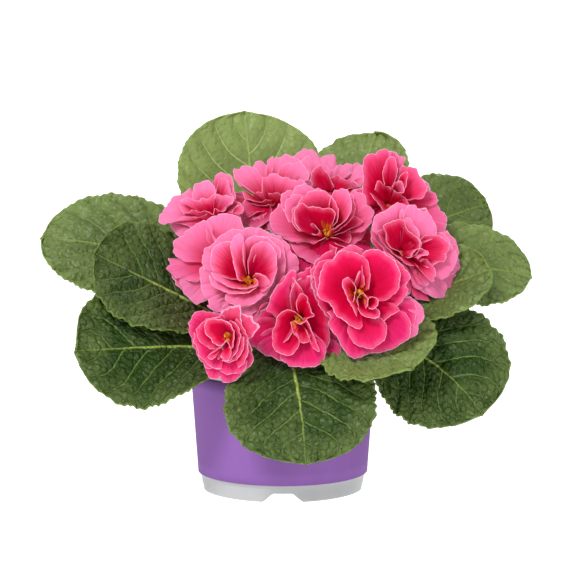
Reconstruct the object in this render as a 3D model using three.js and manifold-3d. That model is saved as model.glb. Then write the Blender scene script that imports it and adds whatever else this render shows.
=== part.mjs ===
// A double-flowered primrose in a 10.5 cm grower's pot, in millimetres, +Z up.
// The origin is on the pot's axis at the surface that the pot stands on, and -Y is the plant's front.
import * as THREE from "three";
import { mergeVertices } from "three/addons/utils/BufferGeometryUtils.js";
import Module from "manifold-3d";

const wasm = await Module();
wasm.setup();

// ---- Driving dimensions ----

const CLEARANCE = 0.3; // between pieces that touch
const CUT_PAST = 1; // how far a cutter runs past the face that it opens

const pot = {
  height: 77,
  rimRadius: 53,
  wallTopRadius: 51.4,
  wallBottomRadius: 47.1,
  wall: 1.2,
  footHeight: 9.5,
  footRadius: 45.6,
  footRound: 0.8,
  footStep: 0.9, // how far the wall stands out over the foot
  floorUnderside: 5.6, // the pot's floor is held off the ground by the foot ring
  rimBand: 9, // height of the thickened band at the rim
  rimRound: 0.6,
  notches: 4,
  notchHeight: 5.2,
  notchTopWidth: 11,
  notchBottomWidth: 23,
  drains: 4,
  drainRadius: 4,
  drainRing: 26,
  drainSides: 8,
  sides: 36,
};

const label = { bottom: 9.9, top: 67.2, thickness: 0.5 };

const soil = { top: 69, edgeDip: 1.5, flatRadius: 28 };

// The crown's profile is a list of radii and heights from its underside to its shoulder and top.
const crown = {
  underside: [
    [7, 59],
    [11.9, 64],
    [14, 69],
    [14, 81],
  ],
  topside: [
    [11.2, 84.5],
    [5.6, 87],
  ],
  bottom: 59,
  tip: 87.5,
  sides: 14,
  leafRing: 9.8, // the leaves' midribs start this far from the axis
  stalkHeight: 83, // the stalks start at this height
};

// A leaf's blade. A pair is a value at the leaf's base and at its tip.
const blade = {
  thickness: 0.8,
  petioleHalfWidth: [3.6, 4.2],
  midribDepth: [3.4, 0.5],
  midribHalfWidth: [2.1, 0.6],
  midribEdge: 0.2, // share of the midrib's depth that is left at its edge
  taper: 0.85, // the outline's exponents at the base and at the tip: a lower one is blunter
  blunt: 0.48,
  fold: 0.16, // how far the halves rise from the midrib, as a share of the half width
  foldCurve: 1.4,
  foldLoss: 0.6, // share of the fold that is gone at the tip
  swell: 0.9, // how far the blade swells between two side veins
  sink: -0.3, // and how far it sinks on a vein, as a share of that
  tooth: 0.045, // how far the margin goes in and out, as a share of the half width
  wave: 2.6, // height of the margin's waves at the tip
  waveTurns: 6.5, // radians of wave along the blade
  wavePhase: [3.4, 1.2], // left and right
  pull: 0.42, // how far the midrib holds its direction at either end, as a share of the leaf's reach
};

// Rows across a blade run along its side veins, and crowd towards the tip.
const veinRows = {
  count: 11,
  crowding: 1.25,
  midribPlace: 0.6,
  marginPlace: 0.75,
  sweep: 1.5, // how far the veins sweep forward from the midrib
  marginEnd: 0.98,
  outlineEnd: 0.985,
};

// Each leaf leaves the crown at `azimuth` and `baseHeight`, rising at `rise` degrees. Its tip is `reach`
// from the pot's axis at `tipAzimuth` and `tipHeight`, where it slopes at `tipSlope` degrees. `roll` turns
// the blade about its midrib, in full from `rollBy` of its length on, and `stalk` is the share of the
// length that is petiole.
const leafTable = [
  {
    name: "leaf_front", azimuth: -92, baseHeight: 74, rise: 62,
    tipAzimuth: -82, reach: 90, tipHeight: 30, tipSlope: -80,
    width: 84, stalk: 0.2, roll: 5, rollBy: 0.6,
  },
  {
    name: "leaf_front_left", azimuth: -135, baseHeight: 76, rise: 16,
    tipAzimuth: -154, reach: 128, tipHeight: 88, tipSlope: 2,
    width: 78, stalk: 0.12, roll: -56, rollBy: 0.7,
  },
  {
    name: "leaf_front_right", azimuth: -36, baseHeight: 74, rise: 42,
    tipAzimuth: -27, reach: 125, tipHeight: 52, tipSlope: -50,
    width: 78, stalk: 0.24, roll: 44, rollBy: 0.7,
  },
  {
    name: "leaf_left_low", azimuth: 176, baseHeight: 74, rise: 56,
    tipAzimuth: 169, reach: 141, tipHeight: 139, tipSlope: 2,
    width: 68, stalk: 0.16, roll: -46, rollBy: 0.35,
  },
  {
    name: "leaf_left_high", azimuth: 206, baseHeight: 80.5, rise: 35,
    tipAzimuth: 191, reach: 108, tipHeight: 138, tipSlope: 30,
    width: 73, stalk: 0.2, roll: -47, rollBy: 0.35,
  },
  {
    name: "leaf_right_low", azimuth: 2, baseHeight: 74, rise: 50,
    tipAzimuth: 4, reach: 142, tipHeight: 119, tipSlope: -16,
    width: 56, stalk: 0.18, roll: 46, rollBy: 0.35,
  },
  {
    name: "leaf_right_mid", azimuth: -18, baseHeight: 80.5, rise: 36,
    tipAzimuth: -15, reach: 120, tipHeight: 130.5, tipSlope: 26,
    width: 48, stalk: 0.34, roll: 48, rollBy: 0.35,
  },
  {
    name: "leaf_right_high", azimuth: 31, baseHeight: 74, rise: 47,
    tipAzimuth: 27, reach: 133, tipHeight: 154, tipSlope: 10,
    width: 62, stalk: 0.3, roll: 48, rollBy: 0.35,
  },
  {
    name: "leaf_back_right", azimuth: 67, baseHeight: 80.5, rise: 52,
    tipAzimuth: 58, reach: 102, tipHeight: 192, tipSlope: 54,
    width: 57, stalk: 0.55, roll: 8, rollBy: 0.35,
  },
  {
    name: "leaf_back_left", azimuth: 114, baseHeight: 80.5, rise: 60,
    tipAzimuth: 106, reach: 80, tipHeight: 206, tipSlope: 70,
    width: 90, stalk: 0.18, roll: 0, rollBy: 0.35,
  },
  {
    name: "leaf_under_blooms", azimuth: -57.5, baseHeight: 80.5, rise: 24,
    tipAzimuth: -48, reach: 107, tipHeight: 82, tipSlope: -18,
    width: 70, stalk: 0.3, roll: 24, rollBy: 0.6,
  },
  {
    name: "leaf_rear_left", azimuth: 142, baseHeight: 74, rise: 48,
    tipAzimuth: 136, reach: 112, tipHeight: 62, tipSlope: -52,
    width: 70, stalk: 0.18, roll: 10, rollBy: 0.6,
  },
  {
    name: "leaf_rear", azimuth: 106, baseHeight: 74, rise: 60,
    tipAzimuth: 97, reach: 90.3, tipHeight: 40, tipSlope: -72,
    width: 74, stalk: 0.14, roll: 0, rollBy: 0.6,
  },
  {
    name: "leaf_rear_right", azimuth: 68, baseHeight: 74, rise: 48,
    tipAzimuth: 46, reach: 112, tipHeight: 60, tipSlope: -52,
    width: 70, stalk: 0.2, roll: -10, rollBy: 0.6,
  },
];

// Each bloom's throat is at `at`, it opens along `facing`, and `size` is its radius when spread. `turn` is
// where its outermost petal points, and its stalk leaves the crown `ring` from the axis.
const bloomTable = [
  { name: "bloom_01", at: [25, -27, 151], facing: [0.05, -0.7, 0.71], size: 35, turn: 90, ring: 5 },
  { name: "bloom_02", at: [-19, -51, 126.5], facing: [-0.04, -0.98, 0.2], size: 34, turn: 20, ring: 5.5 },
  { name: "bloom_03", at: [42, -70, 122.2], facing: [0.04, -0.98, 0.18], size: 39, turn: 55, ring: 8 },
  { name: "bloom_04", at: [8, -63, 106.7], facing: [-0.2, -0.97, 0.05], size: 33, turn: 0, ring: 9.5 },
  { name: "bloom_05", at: [-31, -74, 99.3], facing: [-0.42, -0.9, 0], size: 25, turn: 30, ring: 9.5 },
  { name: "bloom_06", at: [68, -34, 141], facing: [0.3, -0.9, 0.3], size: 34, turn: 70, ring: 6 },
  { name: "bloom_07", at: [60, 0, 165], facing: [0.1, -0.74, 0.66], size: 32, turn: 10, ring: 6 },
  { name: "bloom_08", at: [-7, 2, 165], facing: [-0.1, -0.56, 0.82], size: 33, turn: 40, ring: 1.5 },
  { name: "bloom_09", at: [-42, -4, 158.5], facing: [-0.36, -0.5, 0.79], size: 31, turn: 0, ring: 6 },
  { name: "bloom_10", at: [-38, -27, 133.1], facing: [-0.62, -0.76, 0.2], size: 32, turn: 60, ring: 9 },
  { name: "bloom_11", at: [27, 32, 170], facing: [0.1, -0.2, 0.97], size: 30, turn: 15, ring: 5 },
  { name: "bloom_12", at: [-63, 54, 118], facing: [-0.62, 0.68, 0.38], size: 30, turn: 35, ring: 9.5 },
  { name: "bloom_13", at: [66, 66, 110], facing: [0.62, 0.7, 0.35], size: 28, turn: 80, ring: 9.5 },
  { name: "bloom_14", at: [9, 70.3, 121.7], facing: [0.08, 0.92, 0.36], size: 32, turn: 50, ring: 9.5 },
];

// The rear blooms' petals follow one spiral about the bloom's axis, outermost first, and only the outer ones
// are built. The pairs are values at the outermost and innermost petal: how far its edge stands from the axis
// as a share of the bloom's size, how many degrees it leans off the axis at its root and at its edge, half
// the spread of its fan in degrees, and how high it springs from the heart as a share of the size.
const spiral = {
  petals: 16,
  built: 10,
  turn: 137.5,
  wander: 6, // degrees that a petal may stray from the spiral
  reach: [1.12, 0.36],
  rootLean: [46, 14],
  edgeLean: [122, 66],
  halfSpread: [56, 68],
  rootHeight: [0, 0.14],
};

const petal = {
  thickness: 0.7,
  rootRadius: 0.05, // the petals spring from a ring of this share of the bloom's size
  plannedRoot: 0.04, // and the planned ones from a ring of this share
  notch: 0.06,
  notchWidth: 0.16,
  shoulder: 0.46, // how much shorter the petal is at the sides of its fan
  shoulderCurve: 2.3,
  sway: 6, // degrees that the whole bowl wanders off its mean lean
  fineSway: 0.6,
  variation: 0.05,
};

// A petal's corners: rows from root to edge, each a list of places across the fan.
const petalRows = [
  { u: 0.03, across: [0] },
  { u: 0.55, across: [-0.85, 0, 0.85] },
  { u: 1, across: [-1, -0.5, 0, 0.5, 1] },
];

// The front blooms' petals, rearmost first. `rim` goes around a petal's edge, right and up from the throat as
// the plant's front shows it. `high` is how far the rim stands before the throat along the bloom's axis, and
// a petal with a larger `cup` stays longer near its root's depth.
const petalPlans = {
  bloom_01: [
    {
      high: -8, cup: 0.8,
      rim: [[-26.5, -0.7], [-22.3, -12.8], [-12.5, -21.1], [0, -19.5], [11.2, -12.9], [21.7, -5.2]],
    },
    { high: 8, cup: 0.9, rim: [[-20.9, 19.5], [-15.7, 26.2], [-7.3, 24.4], [0.4, 20.6]] },
    { high: 2, cup: 0.8, rim: [[9.9, 17.3], [20.5, 20.5], [27.5, 9.3], [18.3, -0.7]] },
    { high: 9, cup: 0.9, rim: [[-21.5, 4.9], [-23.9, 12.3], [-21.1, 19.2], [-13.6, 20.1]] },
    {
      high: -3, cup: 0.7,
      rim: [[-23.2, -4.1], [-15.1, -14.4], [-2.8, -17.5], [8.7, -11.1], [19.5, -3.5], [25.1, 8.3]],
    },
    { high: 0, cup: 0.8, rim: [[-24.3, 10.5], [-32, 9.5], [-27.1, -2], [-14.3, -5.7], [-1.3, -3.5]] },
    { high: 11, cup: 1, rim: [[0.9, 15], [9.7, 23.4], [12.8, 10.2], [2.1, 1]] },
    {
      high: 11, cup: 1,
      rim: [[-15.9, -0.1], [-19.8, 10.5], [-13, 20], [-1.7, 22.7], [5.5, 13.5], [2.6, 2.7]],
    },
  ],
  bloom_02: [
    { high: -6, cup: 0.8, rim: [[7.5, 22.6], [16.8, 25.2], [24.5, 16], [27.9, 4.6], [19.7, -4.2]] },
    { high: -6, cup: 0.8, rim: [[-20.4, 13.7], [-27.4, 7.1], [-26.7, -2.1], [-19.3, -8.6]] },
    { high: -6, cup: 0.8, rim: [[-23.7, -14.2], [-12, -19.9], [0.5, -21.1], [9.7, -10.8]] },
    { high: -4, cup: 0.8, rim: [[-22.6, 17], [-16.3, 24.5], [-7.7, 28.7], [0.8, 24.8]] },
    { high: -3.5, cup: 0.8, rim: [[-7, 24.8], [0.2, 29.7], [8.7, 28], [14.1, 21.5]] },
    { high: 3, cup: 1.4, rim: [[-5.9, 0.9], [-17.3, 2.9], [-20.9, 13.5], [-13.5, 21.4], [-3.7, 17]] },
    { high: 4, cup: 1.3, rim: [[0.2, 3.6], [1.8, 17.6], [13.6, 18.5], [15.5, 4.6], [7.5, -6.4]] },
    { high: 2.5, cup: 0.8, rim: [[-12.6, -7.5], [-5.6, -14.1], [5.2, -11.2], [11.9, -2.5], [4.1, 4.2]] },
    { high: 5, cup: 1, rim: [[-20.9, 4.8], [-12.5, -2.7], [-1.3, -4.5], [3.6, 1.4]] },
  ],
  bloom_03: [
    {
      high: -9, cup: 0.8,
      rim: [[-14.7, 24.1], [-25, 17.7], [-31.8, 7.7], [-31.3, -4.2], [-23.8, -13.7], [-13.6, -20.3]],
    },
    { high: -7, cup: 0.8, rim: [[22.5, -3.7], [33.9, -6.2], [32.8, -18.3], [23, -24.7]] },
    { high: -5, cup: 0.8, rim: [[-14.1, 19.6], [-9.6, 24.4], [-3.5, 26.8], [2.5, 24.1]] },
    { high: -4, cup: 0.8, rim: [[22.5, -9.2], [28.6, -18.3], [23.2, -27.8], [12.4, -32.3], [0.9, -31.4]] },
    {
      high: -3.5, cup: 0.8,
      rim: [[-18, -10.3], [-16.2, -20.5], [-9.6, -29.8], [-0.6, -35.7], [5.3, -28.6]],
    },
    { high: -2.5, cup: 0.9, rim: [[13.6, 23.5], [24.5, 14.8], [26.5, 3], [19.3, -8], [6.4, -11.4]] },
    { high: 0.5, cup: 0.7, rim: [[-4.7, -15.9], [-3, -26.9], [8.4, -29.7], [15.3, -20.3], [7.5, -13.6]] },
    {
      high: 1, cup: 0.8,
      rim: [[3.1, 4.7], [0.9, 18.5], [11.3, 23.8], [21.5, 14.7], [20.7, 1.3], [8.6, -4.2]],
    },
    {
      high: 2, cup: 0.8,
      rim: [[5.3, 2.4], [2.3, 20.5], [-14, 19.2], [-22.4, 3.7], [-13.3, -10.9], [2, -17.5]],
    },
    { high: 6, cup: 1, rim: [[-1.4, -12.5], [-7.5, -0.3], [-4.7, 7.7], [-3.6, -4.8]] },
  ],
  bloom_04: [
    { high: -5, cup: 0.8, rim: [[-19.5, -22.6], [-28.2, -10.9], [-20.9, 1], [-7.3, -2.7]] },
    {
      high: -4, cup: 0.8,
      rim: [[-12.3, -4.9], [-21.6, -11.7], [-19.4, -23.2], [-10.2, -30.9], [1.6, -28.7]],
    },
    { high: -3, cup: 0.9, rim: [[-4, 11.7], [-1.3, 23.5], [8.6, 29.9], [14.8, 21.7]] },
    { high: -2, cup: 0.8, rim: [[7.1, 18.9], [15.6, 10.3], [17.8, -1.4], [17.3, -13.1], [10.4, -15.9]] },
    {
      high: -1, cup: 0.9,
      rim: [[-11.7, 0.7], [-16, 9.7], [-10.7, 19.9], [-2.2, 27.5], [-3.4, 17], [-3.4, 5.1]],
    },
    { high: 1, cup: 0.8, rim: [[-9.5, -18.1], [-3.2, -27.7], [9.1, -27.2], [15.6, -17.4], [8.2, -8.7]] },
    {
      high: 4, cup: 1.4,
      rim: [[3.2, -0.4], [-7, 4.9], [-13.1, -5], [-12.6, -16.8], [-1.8, -18.5], [-1.2, -7.6]],
    },
    { high: 5, cup: 1, rim: [[-0.1, 5.1], [5.9, 15.3], [10.2, 2.8], [-1.8, -1]] },
  ],
  bloom_05: [
    { high: -5, cup: 0.8, rim: [[-12.7, -16], [-10.7, -21.9], [-5.4, -24.3], [-0.5, -20.5]] },
    { high: -5, cup: 0.8, rim: [[-4.4, -22.1], [0.1, -26.1], [5.9, -23.8], [9, -18.2]] },
    { high: -5, cup: 0.8, rim: [[7.3, -21.6], [11.4, -18], [14.4, -13.6], [13.4, -8.3]] },
    { high: -4, cup: 0.8, rim: [[-19.3, 0.6], [-19.5, 10.9], [-9.5, 13], [0.6, 9.5]] },
    { high: -3, cup: 0.8, rim: [[-20.5, 6.2], [-19.1, -3.4], [-15.4, -12.6], [-8.2, -18.2]] },
    { high: -0.5, cup: 0.8, rim: [[5.1, 9.5], [10.8, 1], [11.6, -9.3], [6.2, -17.7]] },
    { high: 0.5, cup: 0.9, rim: [[-3.8, 10.6], [-15.2, 5.6], [-12.5, -5.4], [-1, -4.4]] },
    { high: 3, cup: 1.3, rim: [[2.3, 6.2], [-9.1, 9.2], [-10.1, -0.8], [-0.5, -3.3]] },
  ],
  bloom_06: [
    { high: -6, cup: 0.8, rim: [[24, 11.3], [30.4, 2.4], [31.3, -8.3], [23.4, -14.4]] },
    { high: -5, cup: 0.8, rim: [[10, -18.9], [13.7, -25.2], [23.3, -24.8], [20.6, -15.5]] },
    {
      high: -4, cup: 0.8,
      rim: [[-15.8, 20.9], [-20.2, 9.7], [-12.1, 0.6], [-2.8, -7.4], [3.9, -17.3], [13.3, -19.5]],
    },
    { high: -1, cup: 0.8, rim: [[17.8, 10.2], [27.2, 1.8], [26.9, -10.7], [16.1, -14.4]] },
    { high: 1, cup: 0.8, rim: [[-18, 10.2], [-15.3, 20.2], [-6.3, 25.5], [3.8, 23.7]] },
    { high: 2, cup: 0.8, rim: [[-0.1, 18.1], [6.7, 23.8], [16.3, 16.5], [14.5, 5.7]] },
    { high: 3, cup: 1.2, rim: [[7.7, 2.4], [18.7, 7.9], [23.2, -2.7], [12.2, -9.9]] },
    {
      high: 5, cup: 1.4,
      rim: [[-1.2, -3.2], [-10.1, 4.9], [-8.8, 15.4], [0.6, 12.9], [8.9, 3.9], [1, -4.3]],
    },
  ],
  bloom_07: [
    { high: -4, cup: 0.8, rim: [[16.6, 0.8], [27.7, -3.5], [32.4, -14.1], [23.4, -20.7]] },
    { high: -2, cup: 0.8, rim: [[17.7, 5.3], [24.2, 4.6], [27.9, -0.6], [22.3, -3.7]] },
    { high: 5, cup: 0.9, rim: [[-0.4, 27.4], [6.2, 24.9], [7.9, 20], [4.7, 13.3]] },
    { high: 5, cup: 0.8, rim: [[-12.9, -3.7], [-14.8, 10.3], [-13.5, 24.3], [-1, 28.3], [5.8, 17.8]] },
    { high: 5, cup: 0.9, rim: [[4.1, 13.3], [15.2, 16.9], [20.7, 4], [7.5, -0.3]] },
    { high: 3, cup: 0.9, rim: [[-12.9, 5.3], [-8.2, -0.3], [-3.5, -5.9], [3, -7.1]] },
    { high: 6, cup: 0.9, rim: [[-8.3, 5.3], [-2.1, 8.2], [7.4, 1.8], [6.4, -4.9]] },
    { high: 8, cup: 1, rim: [[-2.7, 8.7], [-2.3, 20.4], [4.2, 20.3], [2.4, 8.7]] },
  ],
  bloom_08: [
    { high: -4, cup: 1.3, rim: [[-20.7, 2.8], [-15.9, -10.7], [-4, -17.9], [5.4, -8.5]] },
    { high: -3, cup: 1.2, rim: [[-13.9, -2.9], [-10.5, -10.6], [-2.1, -11], [-0.3, -4]] },
    { high: 1, cup: 0.9, rim: [[-11, 16.4], [-8, 21.6], [-2.5, 20.1], [-1.4, 14.1]] },
    { high: 1, cup: 0.9, rim: [[-16.1, 5.1], [-10, -1], [-0.8, -0.3], [7.7, 3.4]] },
    { high: 4, cup: 0.9, rim: [[0.9, 16.4], [5.6, 24.8], [15.6, 22.4], [20.2, 13.6]] },
    { high: 3, cup: 0.9, rim: [[-17.3, 7.3], [-21.7, 17.1], [-10, 18.5], [-4.2, 8.5]] },
    { high: 6, cup: 0.9, rim: [[4.3, 14.1], [9.9, 20.7], [18.8, 19], [21.3, 10.7]] },
    { high: 8, cup: 0.9, rim: [[-4.8, 3.9], [1.7, 14.1], [15.9, 10.8], [13.1, 3.6], [-1.4, 3.4]] },
  ],
  bloom_09: [
    { high: -5, cup: 0.8, rim: [[-24.1, -2.4], [-18.4, -12.6], [-7.8, -11.2], [1.9, -4.7]] },
    { high: -1, cup: 0.8, rim: [[-24.1, -4.1], [-15.2, -2.3], [-5.7, -3], [4.2, -1.8]] },
    { high: 0, cup: 0.8, rim: [[7.6, -0.1], [13.9, 5.6], [20.2, 2.7], [15, -1.3]] },
    { high: 2, cup: 0.9, rim: [[1.9, 11.2], [4.6, 21.6], [13.7, 18.9], [15.5, 7.8]] },
    { high: 2, cup: 0.9, rim: [[-10.5, 14], [-22.4, 6.9], [-27.8, -5.5], [-15, -2.4]] },
    { high: 2, cup: 0.9, rim: [[-17.3, 5], [-7, 0.9], [4.4, 2.1], [15, 6.7]] },
    { high: 5, cup: 0.9, rim: [[-8.8, 6.7], [-7.5, 16], [1.5, 16.7], [3.6, 7.8]] },
    { high: 5, cup: 0.9, rim: [[-16.2, 6.1], [-5.1, 6.7], [6.2, 10.1], [13.3, 4.4]] },
  ],
  bloom_10: [
    { high: 0, cup: 0.8, rim: [[-24.2, -6.6], [-27.8, -13.9], [-21.9, -21], [-14.1, -20.1]] },
    { high: 1, cup: 0.8, rim: [[-20.9, -9.9], [-18.5, -20.7], [-9.8, -24], [-4, -15.6]] },
    { high: 2, cup: 0.8, rim: [[-19.7, 2.4], [-27.3, -2.8], [-18.4, -9.4], [-6.8, -7.7]] },
    { high: 2, cup: 0.8, rim: [[-5.1, 13.6], [-3.2, 25.1], [8.3, 27], [15.7, 18.8], [7.2, 11.4]] },
    {
      high: 3, cup: 0.8,
      rim: [[-16.4, 0.2], [-24.3, 8.4], [-16.7, 17.3], [-6.5, 23.8], [-0.4, 13.8], [-4, 2.4]],
    },
  ],
  bloom_11: [
    { high: -3, cup: 0.8, rim: [[9.2, 4.1], [14.2, 11.9], [20.7, 7.6], [16.1, -0.5]] },
    { high: -2, cup: 0.8, rim: [[0, 6.4], [7.1, 11.8], [12.6, 6.9], [4.6, 2.9]] },
    { high: -3, cup: 0.8, rim: [[-6.8, 12.1], [-2, 17.3], [3.7, 14.3], [5.8, 7.5]] },
    { high: -1, cup: 0.8, rim: [[-19.4, 6.4], [-19.3, 18.4], [-7.3, 17.9], [0.6, 7.5]] },
    { high: 1, cup: 0.9, rim: [[-1.1, 2.9], [7.2, 3.3], [14.7, -1.7], [19.5, 4.1]] },
    { high: 2, cup: 0.9, rim: [[-17.2, 7.5], [-12, 15.2], [-3.2, 8.3], [2.3, -1.7]] },
    { high: 3, cup: 0.9, rim: [[-11.4, -2.8], [-10.4, 7.5], [-2.1, 6.6], [2.3, -2.8]] },
  ],
};

const middleRow = { u: 0.55, inset: 0.08 }; // the row between a planned petal's root and rim
const FRONT_SHARE = 0.4; // how far a planned bloom's rims turn from its axis to the plant's front

// The bloom's receptacle and the places on its axis behind and before the throat, as shares of its size.
const heart = { radius: 0.14, topRadius: 0.098, bottom: -0.02, top: 0.25, sides: 5 };
const ROOT_BEHIND = 0.2;
const MIDDLE_BEFORE = 0.15;

// Blooms press against each other. Bloom number `before` keeps to the side of a plane that its normal points
// to, bloom number `behind` keeps to the other side, and petals yield smoothly as they near the plane.
const pressPlanes = [
  { before: 1, behind: 6, normal: [-0.852, 0.522, -0.027], at: -60.5 },
  { before: 1, behind: 7, normal: [-0.491, -0.859, 0.144], at: 10.6 },
  { before: 1, behind: 8, normal: [0.474, -0.866, 0.161], at: 38.2 },
  { before: 2, behind: 4, normal: [-0.456, 0.804, 0.382], at: 4.2 },
  { before: 2, behind: 10, normal: [0.004, -0.988, 0.154], at: 60.8 },
  { before: 3, behind: 4, normal: [0.512, -0.778, 0.365], at: 102.7 },
  { before: 8, behind: 9, normal: [0.758, 0.579, -0.300], at: -68.4 },
  { before: 8, behind: 11, normal: [-0.301, -0.638, 0.709], at: 106.7 },
  { before: 9, behind: 10, normal: [0.242, 0.946, 0.218], at: 7 },
  { before: 13, behind: 14, normal: [0.916, 0.369, 0.158], at: 85.7 },
  { before: 4, behind: 0, normal: [0.033, -0.617, 0.786], at: 102.3 },
  { before: 10, behind: 0, normal: [0.309, -0.641, 0.703], at: 77.1 },
];
const press = { gap: 0.65, sharpness: 12 };

const calyx = { length: 13, baseRadius: 2.6, baseRise: 3, topRadius: 3.6, topGap: 1.1 };

const pedicel = { radius: 1.4, steps: 4, sides: 5, pull: 0.4, endPull: 0.24, steepness: 20 };

const colours = {
  petals: 0xee4f86,
  leaves: 0x3f6b2c,
  stalks: 0x7fa04a,
  pot: 0xc9cacb,
  label: 0x9269ac,
  soil: 0x3a2a20,
};

const roughness = { petals: 0.6, leaves: 0.6, stalks: 0.6, pot: 0.45, label: 0.5, soil: 0.95 };

// ---- Small tools ----

const UP = new THREE.Vector3(0, 0, 1);
const RIGHT = new THREE.Vector3(1, 0, 0);
const RISE = new THREE.Vector3(0, 0.1564, 0.9877); // the front view looks a little down on the plant
const FRONT = new THREE.Vector3(0, -0.9877, 0.1564);
const radians = THREE.MathUtils.degToRad;
const vector = (x, y, z) => new THREE.Vector3(x, y, z);
const around = (radius, angle, z) => vector(radius * Math.cos(angle), radius * Math.sin(angle), z);
const mix = (a, b, t) => a + (b - a) * t;
const between = ([start, end], t) => mix(start, end, t);

// A seeded draw of numbers from -1 to 1.
function drawFrom(seed) {
  let state = (seed * 7919 + 12345) % 4294967296;
  return () => {
    state = (state * 1664525 + 1013904223) % 4294967296;
    return (state / 4294967296) * 2 - 1;
  };
}

// A closed solid from a geometry, whichever way round its faces are listed.
function solidOf(geometry) {
  const bare = geometry.clone();
  bare.deleteAttribute("normal");
  bare.deleteAttribute("uv");
  const merged = mergeVertices(bare, 1e-4);
  const vertProperties = new Float32Array(merged.attributes.position.array);
  const make = (triVerts) => new wasm.Manifold(new wasm.Mesh({ numProp: 3, vertProperties, triVerts }));
  const faces = new Uint32Array(merged.index.array);
  const solid = make(faces);
  if (solid.volume() > 0) {
    return solid;
  }
  const turned = faces.map((_, i) => faces[i % 3 === 0 ? i : 3 * Math.floor(i / 3) + 3 - (i % 3)]);
  return make(turned);
}

function geometryOf(solid) {
  const mesh = solid.getMesh();
  const position = new Float32Array(mesh.numVert * 3);
  for (let i = 0; i < mesh.numVert; i++) {
    position.set(mesh.vertProperties.subarray(i * mesh.numProp, i * mesh.numProp + 3), i * 3);
  }
  const geometry = new THREE.BufferGeometry();
  geometry.setAttribute("position", new THREE.BufferAttribute(position, 3));
  geometry.setIndex(new THREE.BufferAttribute(mesh.triVerts, 1));
  geometry.computeVertexNormals();
  return geometry;
}

// The triangles between two rows of points that may differ in number. A ring closes on itself.
function strip(first, firstCount, second, secondCount, closed = false) {
  const faces = [];
  const firstEnd = closed ? firstCount : firstCount - 1;
  const secondEnd = closed ? secondCount : secondCount - 1;
  const a = (k) => first + (k % firstCount);
  const b = (k) => second + (k % secondCount);
  let i = 0;
  let j = 0;
  while (i < firstEnd || j < secondEnd) {
    const nextFirst = firstEnd ? (i + 0.5) / firstEnd : Infinity;
    const nextSecond = secondEnd ? (j + 0.5) / secondEnd : Infinity;
    if (j >= secondEnd || (i < firstEnd && nextFirst < nextSecond)) {
      faces.push([a(i), a(i + 1), b(j)]);
      i += 1;
    } else {
      faces.push([a(i), b(j + 1), b(j)]);
      j += 1;
    }
  }
  return faces;
}

// Where each row starts in the rows' flat list.
const startsOf = (rows) => rows.map((_, i) => rows.slice(0, i).reduce((sum, row) => sum + row.length, 0));

function indexed(points, faces) {
  const geometry = new THREE.BufferGeometry();
  const numbers = points.flatMap((p) => [p.x, p.y, p.z]);
  geometry.setAttribute("position", new THREE.Float32BufferAttribute(numbers, 3));
  geometry.setIndex(faces.flat());
  return geometry;
}

// A closed thin body from rows of { point, over, under }: the middle surface, and how far each face lies
// from it.
function bladeSolid(rows) {
  const cells = rows.flat();
  const starts = startsOf(rows);
  const upper = rows
    .slice(1)
    .flatMap((row, i) => strip(starts[i], rows[i].length, starts[i + 1], row.length));
  const normals = cells.map(() => vector(0, 0, 0));
  for (const [a, b, c] of upper) {
    const side = cells[b].point.clone().sub(cells[a].point);
    const facing = side.cross(cells[c].point.clone().sub(cells[a].point));
    for (const k of [a, b, c]) {
      normals[k].add(facing);
    }
  }
  normals.forEach((n) => n.normalize());
  const over = cells.map((cell, k) => cell.point.clone().addScaledVector(normals[k], cell.over));
  const under = cells.map((cell, k) => cell.point.clone().addScaledVector(normals[k], -cell.under));
  const count = cells.length;
  const last = rows.length - 1;
  const outline = [
    ...rows[0].map((_, k) => starts[0] + k),
    ...rows.slice(1).map((row, i) => starts[i + 1] + row.length - 1),
    ...rows[last].map((_, k) => starts[last] + rows[last].length - 1 - k).slice(1),
    ...rows.slice(1, -1).map((_, i) => starts[last - 1 - i]),
  ];
  const rim = outline.flatMap((a, k) => {
    const b = outline[(k + 1) % outline.length];
    return [[a, a + count, b], [b, a + count, b + count]];
  });
  const lower = upper.map(([a, b, c]) => [a + count, c + count, b + count]);
  return solidOf(indexed([...over, ...under], [...upper, ...lower, ...rim]));
}

// A closed body through rings of points, with flat ends.
function loft(rings) {
  const starts = startsOf(rings);
  const faces = rings
    .slice(1)
    .flatMap((ring, i) => strip(starts[i], rings[i].length, starts[i + 1], ring.length, true));
  for (let k = 1; k < rings[0].length - 1; k++) {
    faces.push([0, k + 1, k]);
  }
  const end = starts[rings.length - 1];
  for (let k = 1; k < rings[rings.length - 1].length - 1; k++) {
    faces.push([end, end + k, end + k + 1]);
  }
  return solidOf(indexed(rings.flat(), faces));
}

function lathe(profile, sides) {
  const points = profile.map(([radius, height]) => new THREE.Vector2(radius, height));
  return solidOf(new THREE.LatheGeometry(points, sides).rotateX(Math.PI / 2));
}

// ---- The pot, its printed band, the soil and the crown ----

const bandBottom = pot.height - pot.rimBand;
const outerRadiusAt = (z) =>
  mix(pot.wallBottomRadius, pot.wallTopRadius, (z - pot.footHeight) / (bandBottom - pot.footHeight));
const innerRadiusAt = (z) => outerRadiusAt(z) - pot.wall;

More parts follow.
